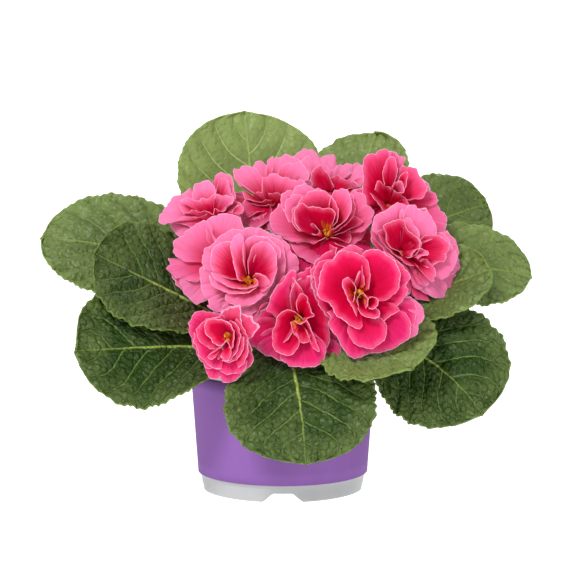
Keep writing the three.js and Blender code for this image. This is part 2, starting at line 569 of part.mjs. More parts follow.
function potSolid() {
  const footInner = pot.footRadius - 2 * pot.wall;
  const floorTop = pot.floorUnderside + pot.wall;
  let solid = lathe(
    [
      [0, pot.floorUnderside],
      [footInner, pot.floorUnderside],
      [footInner, 0],
      [pot.footRadius - pot.footRound, 0],
      [pot.footRadius, pot.footRound],
      [pot.wallBottomRadius - pot.footStep, pot.footHeight - pot.footStep],
      [pot.wallBottomRadius, pot.footHeight],
      [outerRadiusAt(bandBottom), bandBottom],
      [pot.rimRadius - pot.rimRound, bandBottom + pot.rimRound],
      [pot.rimRadius, pot.height - pot.rimRound],
      [pot.rimRadius - pot.rimRound, pot.height],
      [pot.rimRadius - 2 * pot.wall, pot.height],
      [innerRadiusAt(bandBottom), bandBottom],
      [innerRadiusAt(pot.footHeight), floorTop],
      [0, floorTop],
    ],
    pot.sides,
  );
  for (let k = 0; k < pot.notches; k++) {
    const outline = new THREE.Shape([
      new THREE.Vector2(-pot.notchBottomWidth / 2, -CUT_PAST),
      new THREE.Vector2(pot.notchBottomWidth / 2, -CUT_PAST),
      new THREE.Vector2(pot.notchTopWidth / 2, pot.notchHeight),
      new THREE.Vector2(-pot.notchTopWidth / 2, pot.notchHeight),
    ]);
    const cutter = new THREE.ExtrudeGeometry(outline, { depth: pot.rimRadius, bevelEnabled: false })
      .translate(0, 0, pot.drainRing)
      .rotateX(Math.PI / 2)
      .rotateZ((k * 2 * Math.PI) / pot.notches);
    solid = solid.subtract(solidOf(cutter));
  }
  const drainLength = pot.wall + 2 * CUT_PAST;
  for (let k = 0; k < pot.drains; k++) {
    const middle = pot.floorUnderside + pot.wall / 2;
    const at = around(pot.drainRing, ((k + 0.5) * 2 * Math.PI) / pot.drains, middle);
    const hole = new THREE.CylinderGeometry(pot.drainRadius, pot.drainRadius, drainLength, pot.drainSides)
      .rotateX(Math.PI / 2)
      .translate(at.x, at.y, at.z);
    solid = solid.subtract(solidOf(hole));
  }
  return solid;
}

function labelSolid() {
  const insideAt = (z) => outerRadiusAt(z) + CLEARANCE;
  return lathe(
    [
      [insideAt(label.bottom), label.bottom],
      [insideAt(label.bottom) + label.thickness, label.bottom],
      [insideAt(label.top) + label.thickness, label.top],
      [insideAt(label.top), label.top],
      [insideAt(label.bottom), label.bottom],
    ],
    pot.sides,
  );
}

function soilSolid() {
  const floor = pot.floorUnderside + pot.wall + CLEARANCE;
  return lathe(
    [
      [0, floor],
      [innerRadiusAt(pot.footHeight) - CLEARANCE, floor],
      [innerRadiusAt(soil.top) - CLEARANCE, soil.top - soil.edgeDip],
      [soil.flatRadius, soil.top],
      [0, soil.top],
    ],
    pot.sides,
  );
}

function crownSolid(grow = 0) {
  return lathe(
    [
      [0, crown.bottom - grow],
      ...crown.underside.map(([radius, z]) => [radius + grow, z === crown.bottom ? z - grow : z]),
      ...crown.topside.map(([radius, z]) => [radius + grow, z + grow]),
      [0, crown.tip + grow],
    ],
    crown.sides,
  );
}

// ---- Leaves ----

const widest = blade.taper / (blade.taper + blade.blunt);
const outlineAt = (x) => ((x / widest) ** blade.taper) * (((1 - x) / (1 - widest)) ** blade.blunt);

// A leaf's midrib, with the directions across and over the blade at each share of its length.
function leafFrame(leaf) {
  const out = (azimuth) => around(1, radians(azimuth), 0);
  const steer = (azimuth, slope) =>
    out(azimuth).multiplyScalar(Math.cos(radians(slope))).setZ(Math.sin(radians(slope)));
  const base = out(leaf.azimuth).multiplyScalar(crown.leafRing).setZ(leaf.baseHeight);
  const tip = out(leaf.tipAzimuth).multiplyScalar(leaf.reach).setZ(leaf.tipHeight);
  const pull = base.distanceTo(tip) * blade.pull;
  const curve = new THREE.CubicBezierCurve3(
    base,
    base.clone().addScaledVector(steer(leaf.azimuth, leaf.rise), pull),
    tip.clone().addScaledVector(steer(leaf.tipAzimuth, leaf.tipSlope), -pull),
    tip,
  );
  return (share) => {
    const origin = curve.getPointAt(share);
    const ahead = curve.getTangentAt(share);
    const side = around(1, radians(mix(leaf.azimuth, leaf.tipAzimuth, share) + 90), 0);
    side.addScaledVector(ahead, -side.dot(ahead)).normalize();
    side.applyAxisAngle(ahead, radians(leaf.roll * Math.min(1, share / leaf.rollBy)));
    return { origin, side, up: ahead.clone().cross(side) };
  };
}

// One row of cells across a leaf, from `along` on the midrib to `marginAlong` on the margin.
function leafRow(leaf, frameAt, { along, marginAlong, halfWidth, x, swell }) {
  const depth = between(blade.midribDepth, along);
  const rib = Math.min(between(blade.midribHalfWidth, along), halfWidth / 2) / halfWidth;
  const skin = blade.thickness / 2;
  return [-1, -0.5, -rib, 0, rib, 0.5, 1].map((t, column) => {
    const reach = Math.abs(t);
    const phase = blade.wavePhase[t > 0 ? 1 : 0] + leaf.azimuth;
    const fold = blade.fold * halfWidth * reach ** blade.foldCurve * (1 - blade.foldLoss * x);
    const wave = blade.wave * x * reach ** 2 * Math.sin(blade.waveTurns * x + phase);
    const lift = fold + wave + (reach === 0.5 ? swell * blade.swell : 0);
    const ribDepths = [0, 0, blade.midribEdge, 1, blade.midribEdge, 0, 0];
    const { origin, side, up } = frameAt(Math.min(1, mix(along, marginAlong, reach)));
    return {
      point: origin.addScaledVector(side, t * halfWidth).addScaledVector(up, lift),
      over: skin,
      under: skin + depth * ribDepths[column],
    };
  });
}

function leafSolid(leaf) {
  const frameAt = leafFrame(leaf);
  const petiole = [0, 0.5].map((share) => ({
    along: leaf.stalk * share,
    marginAlong: leaf.stalk * share,
    halfWidth: between(blade.petioleHalfWidth, share),
    x: 0,
    swell: 0,
  }));
  const onBlade = (share) => mix(leaf.stalk, 1, share);
  const crowded = (place) => 1 - (1 - place / veinRows.count) ** veinRows.crowding;
  const rows = Array.from({ length: veinRows.count }, (_, k) => {
    const x = crowded(k + veinRows.midribPlace);
    const outer = crowded(k + veinRows.marginPlace);
    const tooth = k % 2 ? blade.tooth : -blade.tooth;
    const width = (leaf.width / 2) * outlineAt(Math.min(outer, veinRows.outlineEnd)) * (1 + tooth);
    return {
      along: k === veinRows.count - 1 ? 1 : onBlade(x ** veinRows.sweep),
      marginAlong: onBlade(Math.min(outer, veinRows.marginEnd)),
      halfWidth: Math.max(width, blade.petioleHalfWidth[1]),
      x,
      swell: k % 2 ? 1 : blade.sink,
    };
  });
  return bladeSolid([...petiole, ...rows].map((row) => leafRow(leaf, frameAt, row)));
}

// ---- Blooms and their stalks ----

const STEEPEST = 0.2; // a bloom that faces within this of straight up is turned by the X axis

function bloomFrame(bloom) {
  const axis = vector(...bloom.facing).normalize();
  const across = UP.clone().cross(axis);
  if (across.length() < STEEPEST) {
    across.set(1, 0, 0).addScaledVector(axis, -axis.x);
  }
  across.normalize();
  const above = axis.clone().cross(across);
  const throat = vector(...bloom.at);
  const root = throat.clone().addScaledVector(axis, -bloom.size * ROOT_BEHIND);
  const middle = throat.clone().addScaledVector(axis, bloom.size * MIDDLE_BEFORE);
  return { axis, across, above, throat, root, middle };
}

const bloomFrames = bloomTable.map(bloomFrame);

// Draws a petal's point towards the bloom's middle where a neighbour presses on it.
function settle(point, index) {
  const { middle } = bloomFrames[index];
  const ray = point.clone().sub(middle);
  const distance = ray.length();
  ray.divideScalar(distance);
  const limits = pressPlanes
    .filter(({ before, behind }) => index + 1 === before || index + 1 === behind)
    .map(({ before, normal, at }) => {
      const side = index + 1 === before ? 1 : -1;
      const inward = vector(...normal).multiplyScalar(side);
      const slope = -ray.dot(inward);
      return slope > 0 ? (middle.dot(inward) - at * side - press.gap) / slope : Infinity;
    });
  const crowding = (distance / Math.min(...limits, Infinity)) ** press.sharpness;
  return middle.clone().addScaledVector(ray, distance / (1 + crowding) ** (1 / press.sharpness));
}

// Each petal of the spiral lies on its own bowl about the bloom's axis, and every bowl of a bloom sways
// alike, so that petals overlap without cutting each other.
function petalPoint(bloom, frame, leaf, u, v) {
  const { size } = bloom;
  const { place, phase } = leaf;
  const angle = radians(leaf.azimuth + between(spiral.halfSpread, place) * v);
  const sway = Math.sin(2 * angle + phase) + petal.fineSway * Math.sin(3 * angle - 2 * phase);
  const dent = petal.notch * Math.exp(-((v / petal.notchWidth) ** 2));
  const edge = 1 - petal.shoulder * Math.abs(v) ** petal.shoulderCurve - dent;
  const from = radians(between(spiral.rootLean, place));
  const to = radians(between(spiral.edgeLean, place));
  const lean = mix(from, to, u * edge);
  const bend = (leaf.reach - petal.rootRadius * size) / (Math.cos(from) - Math.cos(to));
  const radius = petal.rootRadius * size + bend * (Math.cos(from) - Math.cos(lean));
  const height = between(spiral.rootHeight, place) * size + bend * (Math.sin(lean) - Math.sin(from));
  const lift = size * radians(petal.sway) * sway * u ** 2;
  const r = radius - lift * Math.cos(lean);
  return frame.root
    .clone()
    .addScaledVector(frame.across, r * Math.cos(angle))
    .addScaledVector(frame.above, r * Math.sin(angle))
    .addScaledVector(frame.axis, height + lift * Math.sin(lean));
}

function spiralPetals(bloom, index) {
  const draw = drawFrom(index + 1);
  const phase = draw() * Math.PI;
  return Array.from({ length: spiral.built }, (_, k) => {
    const place = k / (spiral.petals - 1);
    const azimuth = bloom.turn + k * spiral.turn + draw() * spiral.wander;
    const reach = between(spiral.reach, place) * bloom.size * (1 + draw() * petal.variation);
    return { phase, place, azimuth, reach };
  });
}

// The rows of a planned petal's middle surface: its root, a row between, and its rim.
function plannedRows(bloom, frame, plan) {
  const axis = frame.axis.clone().addScaledVector(FRONT, FRONT_SHARE).normalize();
  const last = plan.rim.length - 1;
  const onRim = (share) => {
    const k = Math.min(Math.floor(share * last), last - 1);
    const flat = [0, 1].map((side) => mix(plan.rim[k][side], plan.rim[k + 1][side], share * last - k));
    return RIGHT.clone().multiplyScalar(flat[0]).addScaledVector(RISE, flat[1]);
  };
  const pointAt = (u, share) => {
    const flat = onRim(share);
    const depth = (plan.high - flat.dot(axis)) / FRONT.dot(axis);
    const edge = frame.throat.clone().add(flat).addScaledVector(FRONT, depth);
    const out = flat.clone().addScaledVector(frame.axis, -flat.dot(frame.axis)).normalize();
    const foot = frame.root.clone().addScaledVector(out, petal.plannedRoot * bloom.size);
    const ray = edge.sub(foot);
    const over = frame.axis.clone().multiplyScalar(ray.dot(frame.axis));
    return foot.addScaledVector(ray.sub(over), u).addScaledVector(over, u ** plan.cup);
  };
  const count = Math.max(3, last - 1);
  const middle = Array.from({ length: count }, (_, k) =>
    pointAt(middleRow.u, mix(middleRow.inset, 1 - middleRow.inset, k / (count - 1))),
  );
  const rim = plan.rim.map((_, k) => pointAt(1, k / last));
  return [[pointAt(0, 0.5)], middle, rim];
}

// The largest body alone, without the shells of hollows that petals close off between them.
const closed = (solid) =>
  solid.decompose().reduce((largest, part) => (part.volume() > largest.volume() ? part : largest));

function bloomSolid(bloom, index) {
  const frame = bloomFrames[index];
  const skin = petal.thickness / 2;
  const cell = (point) => ({ point: settle(point, index), over: skin, under: skin });
  const petals = bloom.name in petalPlans
    ? petalPlans[bloom.name].map((plan) => plannedRows(bloom, frame, plan))
    : spiralPetals(bloom, index).map((leaf) =>
        petalRows.map(({ u, across }) => across.map((v) => petalPoint(bloom, frame, leaf, u, v))),
      );
  const sheets = petals.map((rows) => bladeSolid(rows.map((row) => row.map(cell))));
  const core = loft([
    ringAround(frame, heart.radius * bloom.size, heart.bottom * bloom.size, heart.sides),
    ringAround(frame, heart.topRadius * bloom.size, heart.top * bloom.size, heart.sides),
  ]);
  return closed(sheets.reduce((whole, part) => whole.add(part), core));
}

function ringAround(frame, radius, height, sides) {
  return Array.from({ length: sides }, (_, k) => {
    const angle = (k * 2 * Math.PI) / sides;
    return frame.root
      .clone()
      .addScaledVector(frame.across, radius * Math.cos(angle))
      .addScaledVector(frame.above, radius * Math.sin(angle))
      .addScaledVector(frame.axis, height);
  });
}

function stalkCurve(bloom, frame) {
  const end = frame.root.clone().addScaledVector(frame.axis, -calyx.length);
  const start = vector(frame.throat.x, frame.throat.y, 0).setLength(bloom.ring).setZ(crown.stalkHeight);
  const apart = start.distanceTo(end);
  const rise = vector(start.x, start.y, pedicel.steepness).normalize();
  return new THREE.CubicBezierCurve3(
    start,
    start.clone().addScaledVector(rise, apart * pedicel.pull),
    end.clone().addScaledVector(frame.axis, -apart * pedicel.endPull),
    end,
  );
}

function stalkSolid(bloom, frame) {
  const curve = stalkCurve(bloom, frame);
  const rings = Array.from({ length: pedicel.steps + 1 }, (_, k) => {
    const root = curve.getPointAt(k / pedicel.steps);
    const axis = curve.getTangentAt(k / pedicel.steps);
    const across = frame.above.clone().cross(axis).normalize();
    const above = axis.clone().cross(across);
    return ringAround({ root, axis, across, above }, pedicel.radius, 0, pedicel.sides);
  });
  rings.push(ringAround(frame, calyx.baseRadius, calyx.baseRise - calyx.length, pedicel.sides));
  rings.push(ringAround(frame, calyx.topRadius, -calyx.topGap, pedicel.sides));
  return loft(rings);
}

// ---- The whole plant ----

const plant = new THREE.Group();

function place(name, solid, kind) {
  const material = new THREE.MeshStandardMaterial({
    color: colours[kind],
    roughness: roughness[kind],
    metalness: 0,
  });
  const mesh = new THREE.Mesh(geometryOf(solid), material);
  mesh.name = name;
  plant.add(mesh);
}

const crownCut = crownSolid(CLEARANCE);

place("pot", potSolid(), "pot");
place("label_band", labelSolid(), "label");
place("soil", soilSolid().subtract(crownCut), "soil");
place("crown", crownSolid(), "stalks");
leafTable.forEach((leaf) => {
  place(leaf.name, leafSolid(leaf).subtract(crownCut), "leaves");
});
bloomTable.forEach((bloom, k) => {
  place(bloom.name, bloomSolid(bloom, k), "petals");
  place(bloom.name.replace("bloom", "stalk"), stalkSolid(bloom, bloomFrames[k]).subtract(crownCut), "stalks");
});

export default plant;
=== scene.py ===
"""A double-flowered primrose in its grower's pot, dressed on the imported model's frame."""
import logging
import math
from dataclasses import dataclass, field
from enum import Enum
from typing import Optional, Sequence, Union

import bpy
import numpy as np
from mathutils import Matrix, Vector


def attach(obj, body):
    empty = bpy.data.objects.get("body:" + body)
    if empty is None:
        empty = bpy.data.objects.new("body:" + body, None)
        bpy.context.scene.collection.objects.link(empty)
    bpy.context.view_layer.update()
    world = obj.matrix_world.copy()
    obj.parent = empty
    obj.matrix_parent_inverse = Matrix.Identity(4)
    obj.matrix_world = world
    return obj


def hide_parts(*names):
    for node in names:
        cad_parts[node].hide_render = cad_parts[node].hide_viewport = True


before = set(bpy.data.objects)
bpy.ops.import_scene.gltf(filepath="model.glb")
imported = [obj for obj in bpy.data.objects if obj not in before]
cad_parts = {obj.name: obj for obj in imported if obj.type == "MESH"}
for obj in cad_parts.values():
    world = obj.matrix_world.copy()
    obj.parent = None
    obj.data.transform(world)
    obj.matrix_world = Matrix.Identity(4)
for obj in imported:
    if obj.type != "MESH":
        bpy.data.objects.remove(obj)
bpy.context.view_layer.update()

LOG = logging.getLogger("primrose")
MM = 0.001
BODY = "root"
UP = np.array([0.0, 0.0, 1.0])
LEVEL = np.array([1.0, 1.0, 0.0])
RIGHT = np.array([1.0, 0.0, 0.0])
# Towards a viewer nine degrees above level, and up as that viewer sees it.
FRONT = np.array([0.0, -0.9877, 0.1564])
RISE = np.array([0.0, 0.1564, 0.9877])
Array = np.ndarray
Piece = bpy.types.Object
Material = bpy.types.Material
Colour = tuple[float, float, float, float]
Painted = dict[str, Array]
# A passage: where it starts and ends, then its values there if they aren't 0 and 1.
Run = tuple[float, ...]
Triple = tuple[float, float, float]
Socket = Union[float, tuple, bpy.types.NodeSocket]
WHITE: Colour = (1.0, 1.0, 1.0, 1.0)


class Slot(Enum):
    """The record's material slots."""

    POT = "pot"
    LABEL = "label"
    SOIL = "soil"
    LEAVES = "leaves"
    STALKS = "stalks"
    PETALS = "petals"


class Ends(Enum):
    """How a body through rings of points ends."""

    POINTED = "each end drawn together to a point"
    OPEN = "both ends left open"
    JOINED = "the last ring joined to the first"


# ---- Small tools ----


def srgb(red: int, green: int, blue: int) -> Colour:
    """A linear colour with full alpha, from display values from 0 to 255."""
    linear = [v / 255 / 12.92 if v <= 10 else ((v / 255 + 0.055) / 1.055) ** 2.4 for v in (red, green, blue)]
    return (linear[0], linear[1], linear[2], 1.0)


def mix(start: float, end: float, share: Union[float, Array]) -> Union[float, Array]:
    """The value a share of the way from start to end."""
    return start + (end - start) * share


def unit(vectors: Array) -> Array:
    """Vectors along the last axis, each scaled to length one."""
    return vectors / np.maximum(np.linalg.norm(vectors, axis=-1, keepdims=True), 1e-12)


def around(radius: float, degrees: float, height: float) -> Array:
    """A point at a radius and an azimuth about the pot's axis."""
    angle = math.radians(degrees)
    return np.array([radius * math.cos(angle), radius * math.sin(angle), height])


def spaced(sides: int) -> Array:
    """Angles of points spaced evenly around a ring."""
    return np.arange(sides) * 2 * math.pi / sides


def rings_at(radii: Array, heights: Array, angles: Array) -> Array:
    """Rings of points at radii, heights and angles about the pot's axis."""
    return np.stack(np.broadcast_arrays(radii * np.cos(angles), radii * np.sin(angles), heights), axis=-1)


def turned(vectors: Array, axes: Array, angles: Array) -> Array:
    """Each vector turned about its axis.

    Args:
        vectors: Vectors, one a row.
        axes: Unit axes, one a row.
        angles: Angles in radians.

    Returns:
        The turned vectors.
    """
    cosine = np.cos(angles)[:, None]
    sine = np.sin(angles)[:, None]
    along = np.sum(vectors * axes, axis=1, keepdims=True)
    return vectors * cosine + np.cross(axes, vectors) * sine + axes * along * (1 - cosine)


def smooth(value: Array, low: float, high: float) -> Array:
    """A smooth step from 0 at low to 1 at high."""
    share = np.clip((value - low) / (high - low), 0.0, 1.0)
    return share * share * (3 - 2 * share)


def rounded(corners: Array, step: float) -> tuple[Array, Array]:
    """A smooth line through corners.

    Args:
        corners: Flat places, one a row.
        step: Distance between the line's points.

    Returns:
        The line's points and the distance along it of each.
    """
    pieces = 12
    fewest = 14
    held = np.concatenate([corners[:1] * 2 - corners[1:2], corners, corners[-1:] * 2 - corners[-2:-1]])
    share = np.linspace(0, 1, pieces + 1)[:-1, None]
    parts = []
    for a, b, c, d in zip(held, held[1:], held[2:], held[3:]):
        bend = 2 * a - 5 * b + 4 * c - d
        parts.append(b + 0.5 * ((c - a) * share + bend * share**2 + (3 * (b - c) + d - a) * share**3))
    line = np.concatenate([*parts, corners[-1:]])
    reached = np.concatenate([[0.0], np.cumsum(np.linalg.norm(np.diff(line, axis=0), axis=1))])
    along = np.linspace(0, reached[-1], max(fewest, int(reached[-1] / step)))
    return np.stack([np.interp(along, reached, line[:, k]) for k in range(2)], axis=-1), along


class Draw:
    """A seeded draw of numbers from -1 to 1."""

    FACTOR = 1664525
    STEP = 1013904223
    RANGE = 2**32
    SEED_FACTOR = 7919
    SEED_STEP = 12345

    def __init__(self, seed: int) -> None:
        """Starts the draw from a seed."""
        self.state = (seed * self.SEED_FACTOR + self.SEED_STEP) % self.RANGE

    def __call__(self) -> float:
        """The next number."""
        self.state = (self.state * self.FACTOR + self.STEP) % self.RANGE
        return self.state / self.RANGE * 2 - 1


class Curve:
    """A cubic Bezier curve that is read by its length."""

    STEPS = 200
    BESIDE = 0.004

    def __init__(self, *corners: Array) -> None:
        """Measures the curve.

        Args:
            corners: Its four control points.
        """
        share = np.linspace(0, 1, self.STEPS + 1)[:, None]
        rest = 1 - share
        weights = (rest**3, 3 * rest**2 * share, 3 * rest * share**2, share**3)
        self.points = sum(weight * corner for weight, corner in zip(weights, corners))
        steps = np.linalg.norm(np.diff(self.points, axis=0), axis=1)
        self.reached = np.concatenate([[0.0], np.cumsum(steps)])
        self.length = float(self.reached[-1])

    def at(self, shares: Array) -> Array:
        """The points at shares of the curve's length."""
        wanted = np.clip(shares, 0, 1) * self.length
        return np.stack([np.interp(wanted, self.reached, self.points[:, k]) for k in range(3)], axis=-1)

    def ahead(self, shares: Array) -> Array:
        """The directions of the curve at shares of its length."""
        low = np.clip(shares - self.BESIDE, 0, 1)
        return unit(self.at(np.clip(shares + self.BESIDE, 0, 1)) - self.at(low))


def cells(across: Array, along: Array, size: float, seed: int) -> tuple[Array, Array]:
    """Distances to the nearest and next nearest of a field of scattered points.

    Args:
        across: First flat coordinate of each place.
        along: Second flat coordinate of each place.
        size: Mean distance between the scattered points.
        seed: Seed of their places.

    Returns:
        The two distances, as shares of the size.
    """
    jitter = 0.42
    beyond = 9.0
    sideways = (127.1, 311.7, 17.3, 43758.5453)
    lengthways = (269.5, 183.3, 5.1, 28001.8384)

    def scattered(rates: Run) -> Array:
        """A number from -1 to 1 for the cell at each place's column and row."""
        mixed = np.sin(column * rates[0] + row * rates[1] + seed * rates[2]) * rates[3]
        return 2 * (mixed - np.floor(mixed)) - 1

    x = across / size
    y = along / size
    near = np.full(x.shape, beyond)
    following = np.full(x.shape, beyond)
    for dx in (-1, 0, 1):
        for dy in (-1, 0, 1):
            column = np.floor(x) + dx
            row = np.floor(y) + dy
            point_x = column + 0.5 + jitter * scattered(sideways)
            point_y = row + 0.5 + jitter * scattered(lengthways)
            distance = np.hypot(point_x - x, point_y - y)
            following = np.minimum(following, np.maximum(near, distance))
            near = np.minimum(near, distance)
    return near, following


# ---- Meshes ----


@dataclass
class Surface:
    """Points, faces and painted values of one piece, in millimetres."""

    points: list[Array] = field(default_factory=list)
    faces: list[Array] = field(default_factory=list)
    maps: list[Array] = field(default_factory=list)
    values: dict[str, list[Array]] = field(default_factory=dict)
    count: int = 0

    def add(self, points: Array, faces: Array, chart: Array, values: Painted) -> None:
        """Adds points with their faces.

        Args:
            points: Places, one a row.
            faces: Four point numbers a row, counted from this addition's first point.
            chart: Flat coordinates of each point.
            values: Painted values of each point, by name.
        """
        self.points.append(points)
        self.faces.append(faces + self.count)
        self.maps.append(chart)
        for name, column in values.items():
            self.values.setdefault(name, []).append(np.asarray(column, float))
        self.count += len(points)

    def add_sheet(self, grid: Array, over: Array, under: Array, chart: Array, values: Painted) -> None:
        """Adds a thin closed body about a grid of points.

        Args:
            grid: The middle surface, rows by columns by three.
            over: How far the upper face lies from it.
            under: How far the lower face lies from it.
            chart: Flat coordinates, rows by columns by two.
            values: Painted values, rows by columns, by name.
        """
        rows, columns = grid.shape[:2]
        normal = unit(np.cross(np.gradient(grid, axis=1), np.gradient(grid, axis=0)))
        upper = grid + normal * np.broadcast_to(over, (rows, columns))[..., None]
        lower = grid - normal * np.broadcast_to(under, (rows, columns))[..., None]
        number = np.arange(rows * columns).reshape(rows, columns)
        a, b, c, d = number[:-1, :-1], number[:-1, 1:], number[1:, 1:], number[1:, :-1]
        top = np.stack([a, b, c, d], axis=-1).reshape(-1, 4)
        bottom = top[:, ::-1] + rows * columns
        ring = np.concatenate([number[0, :-1], number[:-1, -1], number[-1, :0:-1], number[:0:-1, 0]])
        follower = np.roll(ring, -1)
        rim = np.stack([follower, ring, ring + rows * columns, follower + rows * columns], axis=-1)
        both = {name: np.concatenate([column.ravel()] * 2) for name, column in values.items()}
        flat = chart.reshape(-1, 2)
        self.add(
            np.concatenate([upper.reshape(-1, 3), lower.reshape(-1, 3)]),
            np.concatenate([top, bottom, rim]),
            np.concatenate([flat, flat]),
            both,
        )

    def add_tube(self, rings: Array, chart: Array, values: Painted, ends: Ends = Ends.POINTED) -> None:
        """Adds a body through rings of points.

        Args:
            rings: Rings by points by three.
            chart: Flat coordinates, rings by points by two.
            values: Painted values, rings by points, by name.
            ends: How the body ends.
        """
        count, sides = rings.shape[:2]
        number = np.arange(count * sides).reshape(count, sides)
        after = np.roll(number, -1, axis=1)
        faces = np.stack([number, after, np.roll(after, -1, axis=0), np.roll(number, -1, axis=0)], axis=-1)
        faces = (faces if ends is Ends.JOINED else faces[:-1]).reshape(-1, 4)
        points = rings.reshape(-1, 3)
        flat = chart.reshape(-1, 2)
        painted = {name: column.ravel() for name, column in values.items()}
        if ends is Ends.POINTED:
            points = np.concatenate([points, np.stack([rings[0].mean(axis=0), rings[-1].mean(axis=0)])])
            flat = np.concatenate([flat, chart[[0, -1], 0]])
            painted = {name: np.concatenate([c, [c[0], c[-1]]]) for name, c in painted.items()}
            first = np.full(sides, count * sides)
            start = np.stack([first, after[0], number[0], first], axis=-1)
            final = np.stack([first + 1, number[-1], after[-1], first + 1], axis=-1)
            faces = np.concatenate([faces, start, final])
        self.add(points, faces, flat, painted)

    def piece(self, name: str, material: Material) -> Piece:
        """Makes the Blender object.

        Args:
            name: The piece's name.
            material: Its finish.

        Returns:
            The object, with smooth faces, its flat map and its painted values.
        """
        points = np.concatenate(self.points) * MM
        faces = np.concatenate(self.faces)
        chart = np.concatenate(self.maps)
        corners = [list(dict.fromkeys(face)) for face in faces.tolist()]
        mesh = bpy.data.meshes.new(name)
        mesh.from_pydata(points.tolist(), [], corners)
        mesh.polygons.foreach_set("use_smooth", np.ones(len(mesh.polygons), dtype=bool))
        for label, columns in self.values.items():
            layer = mesh.attributes.new(label, "FLOAT", "POINT")
            layer.data.foreach_set("value", np.concatenate(columns).astype(np.float32))
        places = np.zeros(len(mesh.loops), dtype=np.int32)
        mesh.loops.foreach_get("vertex_index", places)
        layer = mesh.uv_layers.new(name="UVMap")
        layer.data.foreach_set("uv", chart[places].astype(np.float32).ravel())
        mesh.materials.append(material)
        mesh.update()
        return placed(name, mesh)


def placed(name: str, data: bpy.types.ID) -> Piece:
    """Puts an object into the scene.

    Args:
        name: The object's name.
        data: Its mesh, camera or light.

    Returns:
        The object.
    """
    made = bpy.data.objects.new(name, data)
    bpy.context.scene.collection.objects.link(made)
    return made


def settled(piece: Piece, name: str) -> Piece:
    """Turns a piece and its modifiers into a plain mesh.

    Args:
        piece: The piece, which is removed.
        name: The plain piece's name.

    Returns:
        The plain piece.
    """
    graph = bpy.context.evaluated_depsgraph_get()
    mesh = bpy.data.meshes.new_from_object(piece.evaluated_get(graph), depsgraph=graph)
    bpy.data.objects.remove(piece)
    mesh.name = name
    return placed(name, mesh)


def report(piece: Piece, slot: Slot, *nodes: str) -> Piece:
    """Ties a finished piece to the frame.

    Args:
        piece: The piece.
        slot: The record's material slot that it takes its finish from.
        nodes: The solids that it stands for.

    Returns:
        The same piece.
    """
    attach(piece, BODY)
    if nodes:
        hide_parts(*nodes)
    LOG.info("%s: %d faces", piece.name, len(piece.data.polygons))
    return piece


# ---- Materials ----


class Nodes:
    """Builds a tree of nodes one by one."""

    def __init__(self, tree: bpy.types.NodeTree) -> None:
        """Takes the tree that the nodes go into."""
        self.tree = tree

    def put(self, target: bpy.types.NodeSocket, value: Socket) -> None:
        """Links or sets one input.

        Args:
            target: The input.
            value: An output that is linked to it, or a value that it is set to.
        """
        if isinstance(value, bpy.types.NodeSocket):
            self.tree.links.new(value, target)
        else:
            target.default_value = value

    def node(self, kind: str, inputs: Optional[dict] = None, **settings: object) -> bpy.types.Node:
        """Adds a node.

        Args:
            kind: The node's type.
            inputs: Values or sockets by input name or number.
            settings: The node's own properties.

        Returns:
            The new node.
        """
        made = self.tree.nodes.new(kind)
        for name, value in settings.items():
            setattr(made, name, value)
        for name, value in (inputs or {}).items():
            self.put(made.inputs[name], value)
        return made


